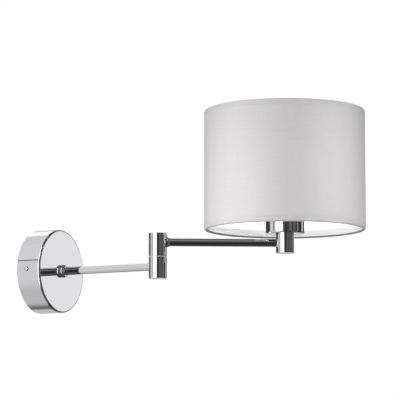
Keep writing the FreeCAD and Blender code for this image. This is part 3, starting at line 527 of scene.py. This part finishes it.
def shade_fabric():
    """Satin-faced weave: warp and weft threads, slubs both ways, and a darker band along each hem.
    Each rolled edge gets painted shade on its underside and painted light on its turned-in part.
    """
    material, tree, shader = new_finish("shade_fabric", Sheen_Weight=0.25, Sheen_Roughness=0.35)
    cloth = node(tree, "ShaderNodeUVMap", uv_map="cloth").outputs["UV"]
    parts = node(tree, "ShaderNodeSeparateXYZ", {0: cloth})
    along, up = parts.outputs["X"], parts.outputs["Y"]

    def slub(per_along, per_up):
        where = node(tree, "ShaderNodeCombineXYZ", {0: maths(tree, "MULTIPLY", along, per_along),
                                                    1: maths(tree, "MULTIPLY", up, per_up)}).outputs[0]
        return noise(tree, where, 1.0, 3.0)

    def threads(direction, spacing):
        settings = {"Vector": cloth, "Scale": 0.314 / spacing, "Distortion": 0.6, "Detail": 1.0,
                    "Detail Scale": 1.5}
        return node(tree, "ShaderNodeTexWave", settings, bands_direction=direction).outputs["Fac"]

    weft = slub(45.0, 900.0)
    warp = slub(1200.0, 40.0)
    cloud = slub(14.0, 10.0)
    weave = maths(tree, "MULTIPLY", threads("X", 0.00042), threads("Y", 0.00052))
    uneven = maths(tree, "MULTIPLY_ADD", weft, 0.55, maths(tree, "MULTIPLY", warp, 0.45))
    yarn = mixed(tree, between(tree, uneven, 0.36, 0.64), (0.712, 0.703, 0.690), (0.748, 0.739, 0.726))
    cool = maths(tree, "MULTIPLY", between(tree, cloud, 0.3, 0.7), 0.35)
    yarn = mixed(tree, cool, yarn, (0.74, 0.742, 0.75))
    lengths = fabric_lengths(fabric_run())
    half = lengths[-1] * MM / 2
    from_middle = maths(tree, "ABSOLUTE", maths(tree, "SUBTRACT", up, half))

    def beyond(point, fade_in):
        """1 from a point of the fabric's run out to the strip's edge, at both edges."""
        start = half - lengths[point] * MM
        return between(tree, from_middle, start - fade_in, start + FADE)

    # Darker band from each hem's edge out to the rolled edge.
    hem = beyond(HEM_POINT, FADE)
    hem_tone = mixed(tree, maths(tree, "MULTIPLY", hem, 0.22), yarn, (0.56, 0.55, 0.53))
    # Painted shade: from where each roll turns under, the fabric is darkened to olive grey.
    under = beyond(UNDER_POINT, 0.0)
    inside = beyond(INSIDE_POINT, 0.0)
    rolled = mixed(tree, maths(tree, "MULTIPLY", under, 0.85), hem_tone, (0.24, 0.225, 0.165))
    # Painted light: the turned-in part of each roll is coloured near white, like the lit liner.
    colour = mixed(tree, inside, rolled, (0.88, 0.88, 0.87))
    roughness = between(tree, uneven, 0.3, 0.7, 0.62, 0.48)
    relief = bump(tree, uneven, 0.00008, 0.35)
    link(tree, shader, colour, roughness, bump(tree, weave, 0.00007, 0.3, relief))
    return material


def opal_glass():
    """Opal glass envelope: milky body under a glossy skin with a little blown unevenness."""
    material, tree, shader = new_finish("opal_glass", Coat_Weight=0.6, Coat_Roughness=0.05,
                                        Subsurface_Weight=0.15, Subsurface_Scale=0.004)
    where = place_in(tree)
    cloud = noise(tree, where, 40.0, 3.0)
    colour = mixed(tree, cloud, (0.90, 0.90, 0.885), (0.94, 0.94, 0.93))
    link(tree, shader, colour, between(tree, cloud, 0.3, 0.7, 0.16, 0.26),
         bump(tree, noise(tree, where, 90.0, 1.0), 0.00004, 0.2))
    return material


def earth_insulation():
    """Soft PVC in green with yellow stripes."""
    material, tree, shader = new_finish("earth_insulation")
    where = place_in(tree)
    stripe = node(tree, "ShaderNodeTexWave", {"Vector": where, "Scale": 130.0, "Distortion": 0.4},
                  bands_direction="DIAGONAL").outputs["Fac"]
    colour = mixed(tree, between(tree, stripe, 0.42, 0.58), (0.06, 0.26, 0.05), (0.78, 0.66, 0.06))
    skin = noise(tree, where, 900.0, 3.0)
    link(tree, shader, colour, between(tree, skin, 0.3, 0.7, 0.36, 0.5), bump(tree, skin, 0.00002, 0.3))
    return material


# ---- canopy and inner arm ------------------------------------------------------------------------
def canopy():
    low, high = span("canopy")
    rim = (high.x - low.x) / 2
    depth = high.y - low.y
    inside = depth - CANOPY_SHEET
    outline = rounded([(rim, 0, CANOPY_RIM_R), (rim, depth, CANOPY_EDGE_R), (ARM_BORE_R, depth),
                       (ARM_BORE_R, inside), (rim - CANOPY_SHEET, inside, CANOPY_INSIDE_R),
                       (rim - CANOPY_SHEET, 0, CANOPY_RIM_R)], 10)
    mesh = lathe("canopy_shell", outline, facing((0, high.y, 0), OUT_OF_WALL), 256)
    add_piece(mesh, "polished_chrome", WALL_BODY, "canopy")


def cut_away(mesh, low, high, place):
    """mesh without a box, low to high in place's own axes, in millimetres."""
    corners = [place @ Vector((x, y, z)) for x in (low[0], high[0]) for y in (low[1], high[1])
               for z in (low[2], high[2])]
    sides = [(0, 1, 3, 2), (4, 6, 7, 5), (0, 4, 5, 1), (2, 3, 7, 6), (0, 2, 6, 4), (1, 5, 7, 3)]
    cutter = bpy.data.objects.new("cutter", mesh_from("cutter", corners, sides))
    target = bpy.data.objects.new("target", mesh)
    for thing in (cutter, target):
        bpy.context.scene.collection.objects.link(thing)
    cutting = target.modifiers.new("cutting", "BOOLEAN")
    cutting.object = cutter
    cutting.operation = "DIFFERENCE"
    evaluated = target.evaluated_get(bpy.context.evaluated_depsgraph_get())
    result = bpy.data.meshes.new_from_object(evaluated)
    for thing in (cutter, target):
        bpy.data.objects.remove(thing)
    result.name = mesh.name
    return result


def screw_head(name, radius, height, place):
    """Dome head on a stub of its shank, with a screwdriver slot across it."""
    bulge = (radius ** 2 + height ** 2) / (2 * height)
    steep = math.degrees(math.asin(radius / bulge))
    dome = arc((0, height - bulge), bulge, 90 - steep, 90, 14)
    outline = [(0, -SHANK_L, 0.0), (SHANK_R, -SHANK_L, 0.0), (SHANK_R, DOME_LIFT, 0.0)]
    outline += [(r, max(h, DOME_LIFT), 1.0) for r, h in dome]
    mesh = lathe(name, outline, place, 96)
    half_w = SCREW_SLOT_W / 2
    slot_low = (-radius - 1, -half_w, height - SCREW_SLOT_DEPTH)
    slot_high = (radius + 1, half_w, height + 1)
    return cut_away(mesh, slot_low, slot_high, place)


def canopy_side_screws():
    low, high = span("canopy_side_screws")
    rim = (span("canopy")[1].x - span("canopy")[0].x) / 2
    radius = (high.z - low.z) / 2
    centre = (low + high) / 2
    for side, name in ((-1, "canopy_screw_left"), (1, "canopy_screw_right")):
        seat = Vector((side * rim, centre.y, centre.z))
        mesh = screw_head(name, radius, high.x - rim, facing(seat, (side, 0, 0)))
        add_piece(mesh, "polished_chrome", WALL_BODY, "canopy_side_screws")


def canopy_collar():
    low, high = span("canopy_collar")
    radius = (high.x - low.x) / 2
    long = high.y - low.y
    bore = (span("inner_arm")[1].x - span("inner_arm")[0].x) / 2
    edge_r = long / 2 - COLLAR_LAND
    outline = rounded([(bore, 0), (radius, 0, edge_r), (radius, long, edge_r), (bore, long)], 10)
    mesh = lathe("canopy_collar_ring", outline, facing((0, high.y, 0), OUT_OF_WALL))
    add_piece(mesh, "polished_chrome", WALL_BODY, "canopy_collar")


def arm_tube(name, start, end, radius, body, replaced):
    length = (end - start).length
    outline = pipe_outline(radius, radius - TUBE_WALL, 0, length, TUBE_END_R)
    mesh = lathe(name, outline, facing(start, end - start), 96)
    add_piece(mesh, "polished_chrome", body, replaced)


def inner_arm():
    low, high = span("inner_arm")
    radius = (high.x - low.x) / 2
    arm_tube("inner_arm_tube", Vector((0, high.y, 0)), Vector((0, low.y, 0)), radius, WALL_BODY, "inner_arm")


# ---- knuckle -------------------------------------------------------------------------------------
def knuckle_half(name, replaced, floor, hole_r, open_up, body):
    """Turned half of the knuckle: an outside cylinder bored down to its floor."""
    low, high = span(replaced)
    radius = (high.x - low.x) / 2
    bottom, top = low.z, high.z
    if open_up:
        corners = [(hole_r, bottom), (radius, bottom, BODY_EDGE_R), (radius, top, BODY_EDGE_R),
                   (BODY_BORE_R, top, BODY_MOUTH_R), (BODY_BORE_R, floor[1]), (hole_r, floor[1])]
    else:
        corners = [(hole_r, top), (hole_r, floor[0]), (BODY_BORE_R, floor[0]),
                   (BODY_BORE_R, bottom, BODY_MOUTH_R), (radius, bottom, BODY_EDGE_R),
                   (radius, top, BODY_EDGE_R)]
    mesh = lathe(name, rounded(corners), facing(KNUCKLE, UP), 160)
    add_piece(mesh, "polished_chrome", body, replaced)


def end_disc(name, replaced, axis, body):
    low, high = span(replaced)
    outline = disc_outline((high.x - low.x) / 2 - CAP_GAP, low.z, high.z, CAP_EDGE_R)
    add_piece(lathe(name, outline, facing(axis, UP)), "polished_chrome", body, replaced)


def knuckle():
    knuckle_half("knuckle_lower_body", "knuckle_lower", LOWER_FLOOR, PIVOT_HOLE_R, False, WALL_BODY)
    end_disc("knuckle_lower_disc", "knuckle_lower_cap", KNUCKLE, WALL_BODY)
    knuckle_half("knuckle_upper_body", "knuckle_upper", UPPER_FLOOR, BUSH_HOLE_R, True, SWING_BODY)
    end_disc("knuckle_upper_disc", "knuckle_upper_cap", KNUCKLE, SWING_BODY)


# ---- outer arm, holder and cup -------------------------------------------------------------------
def outer_arm_ferrule():
    low, high = span("knuckle_upper")
    surface = (high.x - low.x) / 2
    tube_r = (span("outer_arm")[1].z - span("outer_arm")[0].z) / 2
    end = surface + FERRULE_OUT
    rim_l, rim_r = FERRULE_RIM
    neck_out, neck_r = FERRULE_NECK
    lip_t, lip_r = FERRULE_LIP
    outline = rounded([(tube_r, surface - FERRULE_SUNK), (FERRULE_R, surface - FERRULE_SUNK),
                       (FERRULE_R, surface + rim_l, rim_r), (tube_r + neck_r, surface + neck_out, neck_r),
                       (tube_r + lip_t, end, lip_r), (tube_r, end)], 8)
    mesh = lathe("outer_arm_flare", outline, facing(KNUCKLE + UP * OUTER_ARM_Z, OUTER_ARM_DIR))
    add_piece(mesh, "polished_chrome", SWING_BODY, "outer_arm_ferrule")


def outer_arm():
    low, high = span("outer_arm")
    reach = (HOLDER - KNUCKLE).length
    start = KNUCKLE + UP * OUTER_ARM_Z + OUTER_ARM_DIR * BODY_BORE_R
    end = start + OUTER_ARM_DIR * (reach - 2 * BODY_BORE_R)
    arm_tube("outer_arm_tube", start, end, (high.z - low.z) / 2, SWING_BODY, "outer_arm")


def arm_socket_holder():
    low, high = span("arm_socket_holder")
    radius = (high.x - low.x) / 2
    floor = high.z - HOLDER_FLOOR_T
    outline = rounded([(PIVOT_HOLE_R, high.z), (PIVOT_HOLE_R, floor), (BODY_BORE_R, floor),
                       (BODY_BORE_R, low.z, BODY_MOUTH_R), (radius, low.z, BODY_EDGE_R),
                       (radius, high.z, HOLDER_TOP_R)])
    mesh = lathe("holder_body", outline, facing(HOLDER, UP), 160)
    add_piece(mesh, "polished_chrome", SWING_BODY, "arm_socket_holder")
    end_disc("holder_disc", "holder_plug", HOLDER, SWING_BODY)


def socket_cup():
    low, high = span("socket_cup")
    radius = (high.x - low.x) / 2
    outline = rounded([(PIVOT_HOLE_R, low.z), (radius, low.z, CUP_EDGE_R), (radius, high.z, CUP_LIP_R),
                       (radius - CUP_WALL, high.z, CUP_LIP_R),
                       (radius - CUP_WALL, low.z + CUP_WALL, CUP_INSIDE_R),
                       (PIVOT_HOLE_R, low.z + CUP_WALL)], 8)
    add_piece(lathe("socket_cup_shell", outline, facing(HOLDER, UP), 192), "polished_chrome", SWING_BODY,
              "socket_cup")


# ---- lampholder ----------------------------------------------------------------------------------
def lampholder_body():
    low, high = span("lampholder_body")
    radius = (high.x - low.x) / 2
    thread_from = low.z + THREAD_START
    thread_to = high.z - THREAD_END

    def threaded(r, height, angle):
        if r < radius - SLEEVE_CHAMFER / 2 or not thread_from < height < thread_to:
            return r
        turns = height / THREAD_PITCH - angle / (2 * math.pi)
        return r - THREAD_DEPTH * (0.5 + 0.5 * math.cos(2 * math.pi * turns))

    rows = int((thread_to - thread_from) / THREAD_PITCH * THREAD_ROWS)
    heights = [thread_from + (thread_to - thread_from) * i / rows for i in range(rows + 1)]
    outline = [(LAMPHOLDER_BORE_R, low.z, 0.0), (radius - SLEEVE_CHAMFER, low.z, 1.0),
               (radius, low.z + SLEEVE_CHAMFER, 1.0)]
    outline += [(radius, height, 0.0) for height in heights]
    top_edge = arc((radius - SLEEVE_TOP_R, high.z - SLEEVE_TOP_R), SLEEVE_TOP_R, 0, 90, 6)
    outline += [(r, h, 1.0) for r, h in top_edge]
    outline += [(LAMPHOLDER_BORE_R + SLEEVE_CHAMFER, high.z, 1.0),
                (LAMPHOLDER_BORE_R, high.z - SLEEVE_CHAMFER, 1.0)]
    mesh = lathe("lampholder_sleeve", outline, facing(HOLDER, UP), 144, threaded, sharp_deg=60.0)
    add_piece(mesh, "white_plastic", SWING_BODY, "lampholder_body")


def shade_ring_nuts():
    low, high = span("shade_ring_nuts")
    radius = (high.x - low.x) / 2
    lampholder_low, lampholder_high = span("lampholder_body")
    bore = (lampholder_high.x - lampholder_low.x) / 2 + RING_FIT
    thickness = (high.z - low.z - FITTER_T) / 2

    def gripped(r, _height, angle):
        """Takes a round finger notch out of the rim at each grip."""
        off = (angle * GRIPS / (2 * math.pi) + 0.5) % 1 - 0.5
        across = radius * 2 * math.pi / GRIPS * off
        if r < bore + RING_SOLID or abs(across) >= GRIP_R:
            return r
        return r - max(0.0, math.sqrt(GRIP_R ** 2 - across ** 2) - GRIP_OUT)

    for name, bottom in (("shade_ring_lower", low.z), ("shade_ring_upper", high.z - thickness)):
        outline = pipe_outline(radius, bore, bottom, bottom + thickness, RING_EDGE_R)
        mesh = lathe(name, outline, facing(HOLDER, UP), 288, gripped)
        add_piece(mesh, "white_plastic", SWING_BODY, "shade_ring_nuts")


# ---- bulb ----------------------------------------------------------------------------------------
def envelope_half(base, inset):
    """Neck, blend and globe arcs of the glass from base up to its crown, moved in by inset."""
    globe_r = (span("bulb_envelope")[1].x - span("bulb_envelope")[0].x) / 2
    globe_up = math.sqrt((globe_r + NECK_BLEND_R) ** 2 - (NECK_R + NECK_BLEND_R) ** 2)
    meet = math.degrees(math.atan2(globe_up, NECK_R + NECK_BLEND_R))
    blend = arc((NECK_R + NECK_BLEND_R, base + NECK_STRAIGHT), NECK_BLEND_R + inset, 180, 180 - meet, 14)
    globe = arc((0, base + NECK_STRAIGHT + globe_up), globe_r - inset, -meet, 90, 36)
    return [(NECK_R - inset, base)] + blend + globe[1:]


def bulb():
    base = span("bulb_envelope")[0].z
    outside = envelope_half(base, 0.0)
    inside = envelope_half(base, GLASS_T)
    outline = [(max(r, 0.0), h, 0.0) for r, h in outside + inside[::-1]]
    mesh = lathe("bulb_glass", outline, facing(HOLDER, UP), 128)
    add_piece(mesh, "opal_glass", SWING_BODY, "bulb_envelope")
    bulb_cap()


def bulb_cap():
    """Thin lamp cap rolled into a round thread, with a plain skirt above it."""
    low, high = span("bulb_cap")
    radius = (high.x - low.x) / 2
    top_thread = high.z - LAMP_SKIRT

    def rolled(r, height, angle):
        turns = (height - low.z) / LAMP_THREAD_PITCH - angle / (2 * math.pi)
        ends = min(1.0, (height - low.z) / LAMP_RUN_OUT, (top_thread - height) / LAMP_RUN_OUT)
        return r - LAMP_THREAD_DEPTH * (0.5 + 0.5 * math.cos(2 * math.pi * turns)) * max(0.0, ends)

    rows = LAMP_ROWS
    heights = [low.z + (high.z - low.z) * i / rows for i in range(rows + 1)]
    wall = [(radius, height, 0.0) for height in heights]
    lining = [(radius - LAMP_SHEET, height, 0.0) for height in reversed(heights)]
    mesh = lathe("bulb_screw_cap", wall + lining, facing(HOLDER, UP), 128, rolled, sharp_deg=60.0)
    add_piece(mesh, "nickel_plated_cap", SWING_BODY, "bulb_cap")


# ---- shade ---------------------------------------------------------------------------------------
def ring_place(which):
    """Radius of a wire ring's middle line and its height."""
    low, high = span(which)
    return (high.x - low.x) / 2 - SHADE_WIRE_R, (low.z + high.z) / 2


def roll(ring_r, ring_z, out, up):
    """Fabric round a wire ring, from the shade's wall inwards; up is 1 on the top ring, -1 below."""
    points = []
    snug = SHADE_WIRE_R + FABRIC_T / 2
    for i in range(ROLL_POINTS):
        angle = math.radians(ROLL_DEG * i / (ROLL_POINTS - 1))
        across = (out if math.cos(angle) > 0 else snug) * math.cos(angle)
        points.append((ring_r + across, ring_z + up * snug * math.sin(angle)))
    return points


def fabric_run():
    """The fabric's middle line: from the end of the bottom roll, up the wall, to the top roll's end."""
    ring_r, bottom = ring_place("shade_bottom_ring")
    top = ring_place("shade_top_ring")[1]
    wall_r = (span("shade_drum")[1].x - span("shade_drum")[0].x) / 2 - FABRIC_T / 2
    out = wall_r - ring_r
    hem_z = bottom + HEM_H
    top_hem_z = top - HEM_H
    margin = HEM_ROWS[-1]
    plain = top - bottom - 2 * HEM_H - 2 * margin
    heights = [bottom + WALL_START]
    heights += [hem_z + row for row in HEM_ROWS]
    heights += [hem_z + margin + plain * i / WALL_ROWS for i in range(1, WALL_ROWS)]
    heights += [top_hem_z + row for row in HEM_ROWS]
    heights.append(top - WALL_START)
    depth, half_height = HEM_PRESS
    wall = []
    for z in heights:
        from_hem = min(abs(z - hem_z), abs(z - top_hem_z))
        pressed = depth * max(0.0, 1 - from_hem / half_height)
        wall.append((wall_r - pressed, z))
    return roll(ring_r, bottom, out, -1)[::-1] + wall + roll(ring_r, top, out, 1)


def fabric_lengths(run):
    """Distance along the fabric's run to each of its points."""
    lengths = [0.0]
    for before, here in zip(run, run[1:]):
        lengths.append(lengths[-1] + math.dist(before, here))
    return lengths


def shade_cloth():
    """One strip of fabric round the shade, its ends overlapping at the lap seam and its edges rolled."""
    run = fabric_run()
    lengths = fabric_lengths(run)
    ring_r = ring_place("shade_bottom_ring")[0]
    wall_r = run[len(run) // 2][0]
    turns = CLOTH_TURNS
    whole = 360.0 + LAP_DEG
    points = []
    uvs = []
    for i in range(turns + 1):
        degrees = whole * i / turns
        angle = math.radians(LAP_AT_DEG + degrees)
        over = min(1.0, max(0.0, (degrees - 360.0 + LAP_RISE_DEG) / LAP_RISE_DEG))
        lift = (FABRIC_T + LAP_GAP) * over * over * (3 - 2 * over)
        uneven = sum(size * math.sin(waves * angle + start) for size, waves, start in WAVER)
        for (radius, height), length in zip(run, lengths):
            r = radius + (lift + uneven if radius > ring_r else -lift)
            points.append(HOLDER + Vector((r * math.cos(angle), r * math.sin(angle), height)))
            uvs.append((math.radians(degrees) * wall_r * MM, length * MM))
    rows = len(run)
    faces = [(i * rows + k, (i + 1) * rows + k, (i + 1) * rows + k + 1, i * rows + k + 1)
             for i in range(turns) for k in range(rows - 1)]
    mesh = mesh_from("shade_cloth", points, faces, sharp_deg=80.0)
    layer = mesh.uv_layers.new(name="cloth")
    for loop in mesh.loops:
        layer.data[loop.index].uv = uvs[loop.vertex_index]
    piece = add_piece(mesh, "shade_fabric", SWING_BODY, "shade_drum")
    thickness = piece.modifiers.new("thickness", "SOLIDIFY")
    thickness.thickness = FABRIC_T * MM
    thickness.offset = 0.0


def shade_liner():
    """Stiff white lining that the fabric is laminated to, between the two rolled edges."""
    bottom = ring_place("shade_bottom_ring")[1]
    top = ring_place("shade_top_ring")[1]
    outer = (span("shade_drum")[1].x - span("shade_drum")[0].x) / 2 - FABRIC_T - LINER_GAP
    low = bottom + SHADE_WIRE_R + LINER_END_GAP
    high = top - SHADE_WIRE_R - LINER_END_GAP
    heights = [low + (high - low) * i / LINER_ROWS for i in range(LINER_ROWS + 1)]
    wall = [(outer, height, 0.0) for height in heights]
    lining = [(outer - LINER_T, height, 0.0) for height in reversed(heights)]
    mesh = lathe("shade_liner", wall + lining, facing(HOLDER, UP), 256)
    return add_piece(mesh, "shade_liner", SWING_BODY)


def weld_bead(name, where, radius, flat):
    """Lumpy weld bead round a joint in the wire frame."""
    points = []
    rows, sides = 9, 18
    for i in range(rows):
        tilt = math.pi * i / (rows - 1)
        for k in range(sides):
            turn = 2 * math.pi * k / sides
            lump = radius * (1 + 0.09 * math.sin(3 * turn + 2 * tilt) + 0.05 * math.sin(5 * turn))
            across = lump * math.sin(tilt)
            off = Vector((across * math.cos(turn), across * math.sin(turn), flat * math.cos(tilt)))
            points.append(where + off)
    faces = []
    for i in range(rows - 1):
        for k in range(sides):
            n = (k + 1) % sides
            faces.append((i * sides + k, i * sides + n, (i + 1) * sides + n, (i + 1) * sides + k))
    mesh = mesh_from(name, points, faces, sharp_deg=80.0)
    weld_poles(mesh)
    return mesh


def shade_spider():
    """Fitter ring with its bent spokes, welded on at both ends."""
    ring_r, ring_z = ring_place("shade_bottom_ring")
    nuts_low, nuts_high = span("shade_ring_nuts")
    fitter_low = (nuts_low.z + nuts_high.z - FITTER_T) / 2
    outline = pipe_outline(FITTER_R, FITTER_HOLE_R, fitter_low, fitter_low + FITTER_T, FITTER_EDGE_R)
    mesh = lathe("shade_fitter", outline, facing(HOLDER, UP), 160)
    add_piece(mesh, "white_wire", SWING_BODY, "shade_spider")
    wire_z = fitter_low + FITTER_T / 2
    for number, degrees in enumerate(SPOKE_ANGLES, 1):
        outwards = Vector((math.cos(math.radians(degrees)), math.sin(math.radians(degrees)), 0))
        inner = HOLDER + outwards * SPOKE_START_R + UP * wire_z
        bend = HOLDER + outwards * SPOKE_BEND_AT + UP * wire_z
        foot = HOLDER + outwards * (ring_r - SPOKE_FOOT_IN) + UP * (ring_z + SPOKE_FOOT_UP)
        mesh = tube_mesh(f"shade_spoke_{number}", [inner, bend, foot], SHADE_WIRE_R, SPOKE_BEND_R)
        add_piece(mesh, "white_wire", SWING_BODY)
        add_piece(weld_bead(f"spoke_weld_{number}", foot, *SPOKE_WELD), "white_wire", SWING_BODY)
        add_piece(weld_bead(f"fitter_weld_{number}", inner, *FITTER_WELD), "white_wire", SWING_BODY)


def keep_out_of_mirrors():
    """Leaves the shade out of what polished parts mirror, so its bright inside doesn't wash out the cup."""
    for piece in bpy.context.scene.objects:
        if piece.name.startswith(UNMIRRORED):
            piece.visible_glossy = False


# ---- camera, lights, floor and world -------------------------------------------------------------
def heading(azimuth, elevation):
    """Unit vector from the object towards a viewer at an azimuth and elevation, in degrees."""
    a = math.radians(azimuth)
    e = math.radians(elevation)
    return Vector((math.sin(a) * math.cos(e), -math.cos(a) * math.cos(e), math.sin(e)))


def camera():
    towards = heading(VIEW_AZIMUTH, VIEW_ELEVATION)
    right = UP.cross(towards).normalized()
    aim = HOLDER + UP * AIM_HEIGHT + right * AIM_SIDEWAYS
    made = bpy.data.objects.new("camera", bpy.data.cameras.new("camera"))
    made.data.lens = LENS
    made.data.sensor_width = SENSOR
    made.data.clip_start, made.data.clip_end = CLIP
    made.location = (aim + towards * VIEW_DISTANCE) * MM
    made.rotation_mode = "QUATERNION"
    made.rotation_quaternion = (-towards).to_track_quat("-Z", "Y")
    bpy.context.scene.collection.objects.link(made)
    bpy.context.scene.camera = made


def area_light(name, watts, size, size_y, place, away):
    """Area light facing against away, which polished parts don't mirror."""
    lamp = bpy.data.lights.new(name, "AREA")
    lamp.shape = "RECTANGLE"
    lamp.size = size * MM
    lamp.size_y = size_y * MM
    lamp.energy = watts
    made = bpy.data.objects.new(name, lamp)
    made.location = place * MM
    made.rotation_mode = "QUATERNION"
    made.rotation_quaternion = away.to_track_quat("Z", "Y")
    made.visible_glossy = False
    made.visible_camera = False
    bpy.context.scene.collection.objects.link(made)
    return made


def lights(liner):
    """Strips beside the shade, and a light from below that only its liner takes."""
    shade_z = middle("shade_drum").z
    for number, (side, distance, height, length, watts) in enumerate(STRIP_LIGHTS, 1):
        away = heading(VIEW_AZIMUTH + side, 0)
        place = HOLDER + away * distance + UP * (shade_z + height)
        strip = area_light(f"strip_{number}", watts, STRIP_W, length, place, away)
        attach(strip, SWING_BODY)
    below, width, watts = LINER_LIGHT
    under = area_light("inside_fill", watts, width, width, HOLDER + UP * (shade_z - below), -UP)
    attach(under, SWING_BODY)
    lit = bpy.data.collections.new("lit_from_below")
    lit.objects.link(liner)
    under.light_linking.receiver_collection = lit


def floor():
    """Pale floor that gives off a little light, and that is seen through from below."""
    corners = [(x * FLOOR_HALF, y * FLOOR_HALF, FLOOR_Z) for x, y in ((-1, -1), (1, -1), (1, 1), (-1, 1))]
    mesh = mesh_from("floor", corners, [(0, 1, 2, 3)])
    made = bpy.data.objects.new("floor", mesh)
    bpy.context.scene.collection.objects.link(made)
    material, tree, shader = new_finish("pale_floor", Roughness=0.8)
    where = place_in(tree)
    tone = mixed(tree, noise(tree, where, 1.5, 4.0), (0.80, 0.80, 0.79), (0.86, 0.86, 0.85))
    link(tree, shader, tone)
    shader.inputs["Emission Color"].default_value = (1.0, 1.0, 1.0, 1.0)
    shader.inputs["Emission Strength"].default_value = FLOOR_GLOW
    see_through = node(tree, "ShaderNodeBsdfTransparent").outputs[0]
    under = node(tree, "ShaderNodeNewGeometry").outputs["Backfacing"]
    both = node(tree, "ShaderNodeMixShader", {0: under, 1: shader.outputs[0], 2: see_through})
    tree.links.new(both.outputs[0], tree.nodes["Material Output"].inputs["Surface"])
    mesh.materials.append(material)
    made.visible_glossy = False
    made.visible_diffuse = False


def world():
    """White surroundings to the camera; soft boxes and dark flags, by direction, to everything else."""
    made = bpy.data.worlds.new("studio")
    bpy.context.scene.world = made
    made.use_nodes = True
    tree = made.node_tree
    direction = node(tree, "ShaderNodeTexCoord").outputs["Generated"]
    x, y, z = node(tree, "ShaderNodeSeparateXYZ", {0: direction}).outputs
    flat = maths(tree, "SQRT", maths(tree, "MULTIPLY_ADD", x, x, maths(tree, "MULTIPLY", y, y)))
    elevation = maths(tree, "MULTIPLY", maths(tree, "ARCTAN2", z, flat), 180 / math.pi)
    total = None
    for side, half_width, blur, low, low_blur, high, high_blur, brightness in PANELS:
        towards = heading(VIEW_AZIMUTH + side, 0)
        dot = maths(tree, "MULTIPLY_ADD", x, towards.x, maths(tree, "MULTIPLY", y, towards.y))
        ratio = maths(tree, "DIVIDE", dot, maths(tree, "MAXIMUM", flat, 1e-4))
        off = maths(tree, "MULTIPLY", maths(tree, "ARCCOSINE", ratio), 180 / math.pi)
        wide = between(tree, off, half_width + blur, half_width - blur)
        above = between(tree, elevation, low - low_blur, low + low_blur)
        below = between(tree, elevation, high + high_blur, high - high_blur)
        shape = maths(tree, "MULTIPLY", wide, maths(tree, "MULTIPLY", above, below))
        glow = maths(tree, "MULTIPLY", shape, brightness)
        total = maths(tree, "ADD", total, glow) if total else maths(tree, "ADD", glow, AMBIENT)
    seen = node(tree, "ShaderNodeLightPath").outputs["Is Camera Ray"]
    background = tree.nodes["Background"]
    background.inputs["Color"].default_value = (1.0, 1.0, 1.0, 1.0)
    tree.links.new(maths(tree, "MAXIMUM", total, seen), background.inputs["Strength"])


# ---- building ------------------------------------------------------------------------------------
FINISHES = {}
PLATED = {    # light and dark colours, least and most roughness, grain
    "zinc_plated_steel": ((0.68, 0.70, 0.73), (0.56, 0.58, 0.60), 0.28, 0.42, 300.0),
    "brass": ((0.80, 0.62, 0.32), (0.68, 0.50, 0.24), 0.22, 0.36, 500.0),
    "nickel_plated_cap": ((0.76, 0.74, 0.70), (0.66, 0.64, 0.60), 0.18, 0.3, 400.0),
    "solder": ((0.62, 0.62, 0.63), (0.48, 0.48, 0.50), 0.4, 0.6, 900.0),
}
MOULDED = {
    "white_plastic": ((0.86, 0.86, 0.84), (0.82, 0.82, 0.80), 0.24, 0.34, 700.0),
    "nylon": ((0.80, 0.79, 0.74), (0.74, 0.73, 0.68), 0.36, 0.5, 600.0),
    "steatite": ((0.84, 0.82, 0.76), (0.76, 0.74, 0.68), 0.4, 0.6, 900.0),
    "black_vitrite": ((0.02, 0.02, 0.025), (0.01, 0.01, 0.012), 0.08, 0.2, 400.0),
    "white_wire": ((0.86, 0.86, 0.85), (0.80, 0.80, 0.79), 0.34, 0.48, 800.0),
    "shade_liner": ((0.91, 0.91, 0.90), (0.88, 0.88, 0.87), 0.38, 0.5, 250.0),
    "flex_sheath": ((0.82, 0.82, 0.80), (0.76, 0.76, 0.74), 0.36, 0.5, 700.0),
    "live_insulation": ((0.26, 0.12, 0.05), (0.20, 0.09, 0.04), 0.34, 0.5, 900.0),
    "neutral_insulation": ((0.05, 0.15, 0.50), (0.04, 0.11, 0.40), 0.34, 0.5, 900.0),
}


def make_finishes():
    FINISHES["polished_chrome"] = polished_chrome()
    FINISHES["shade_fabric"] = shade_fabric()
    FINISHES["opal_glass"] = opal_glass()
    FINISHES["earth_insulation"] = earth_insulation()
    for make, table in ((plated_metal, PLATED), (moulded, MOULDED)):
        for name, values in table.items():
            FINISHES[name] = make(name, *values)


def finish_cad_nodes():
    """Gives each CAD node its slot's finish."""
    for part in frame["record"]["subparts"]:
        mesh = frame["nodes"][part["node"]].data
        mesh.materials.clear()
        mesh.materials.append(FINISHES[part["material_slot"]])


bpy.context.scene.view_settings.view_transform = "Standard"
camera()
make_finishes()
finish_cad_nodes()
canopy()
canopy_side_screws()
canopy_collar()
inner_arm()
knuckle()
outer_arm_ferrule()
outer_arm()
arm_socket_holder()
socket_cup()
lampholder_body()
shade_ring_nuts()
bulb()
shade_cloth()
liner = shade_liner()
shade_spider()
keep_out_of_mirrors()
floor()
world()
lights(liner)
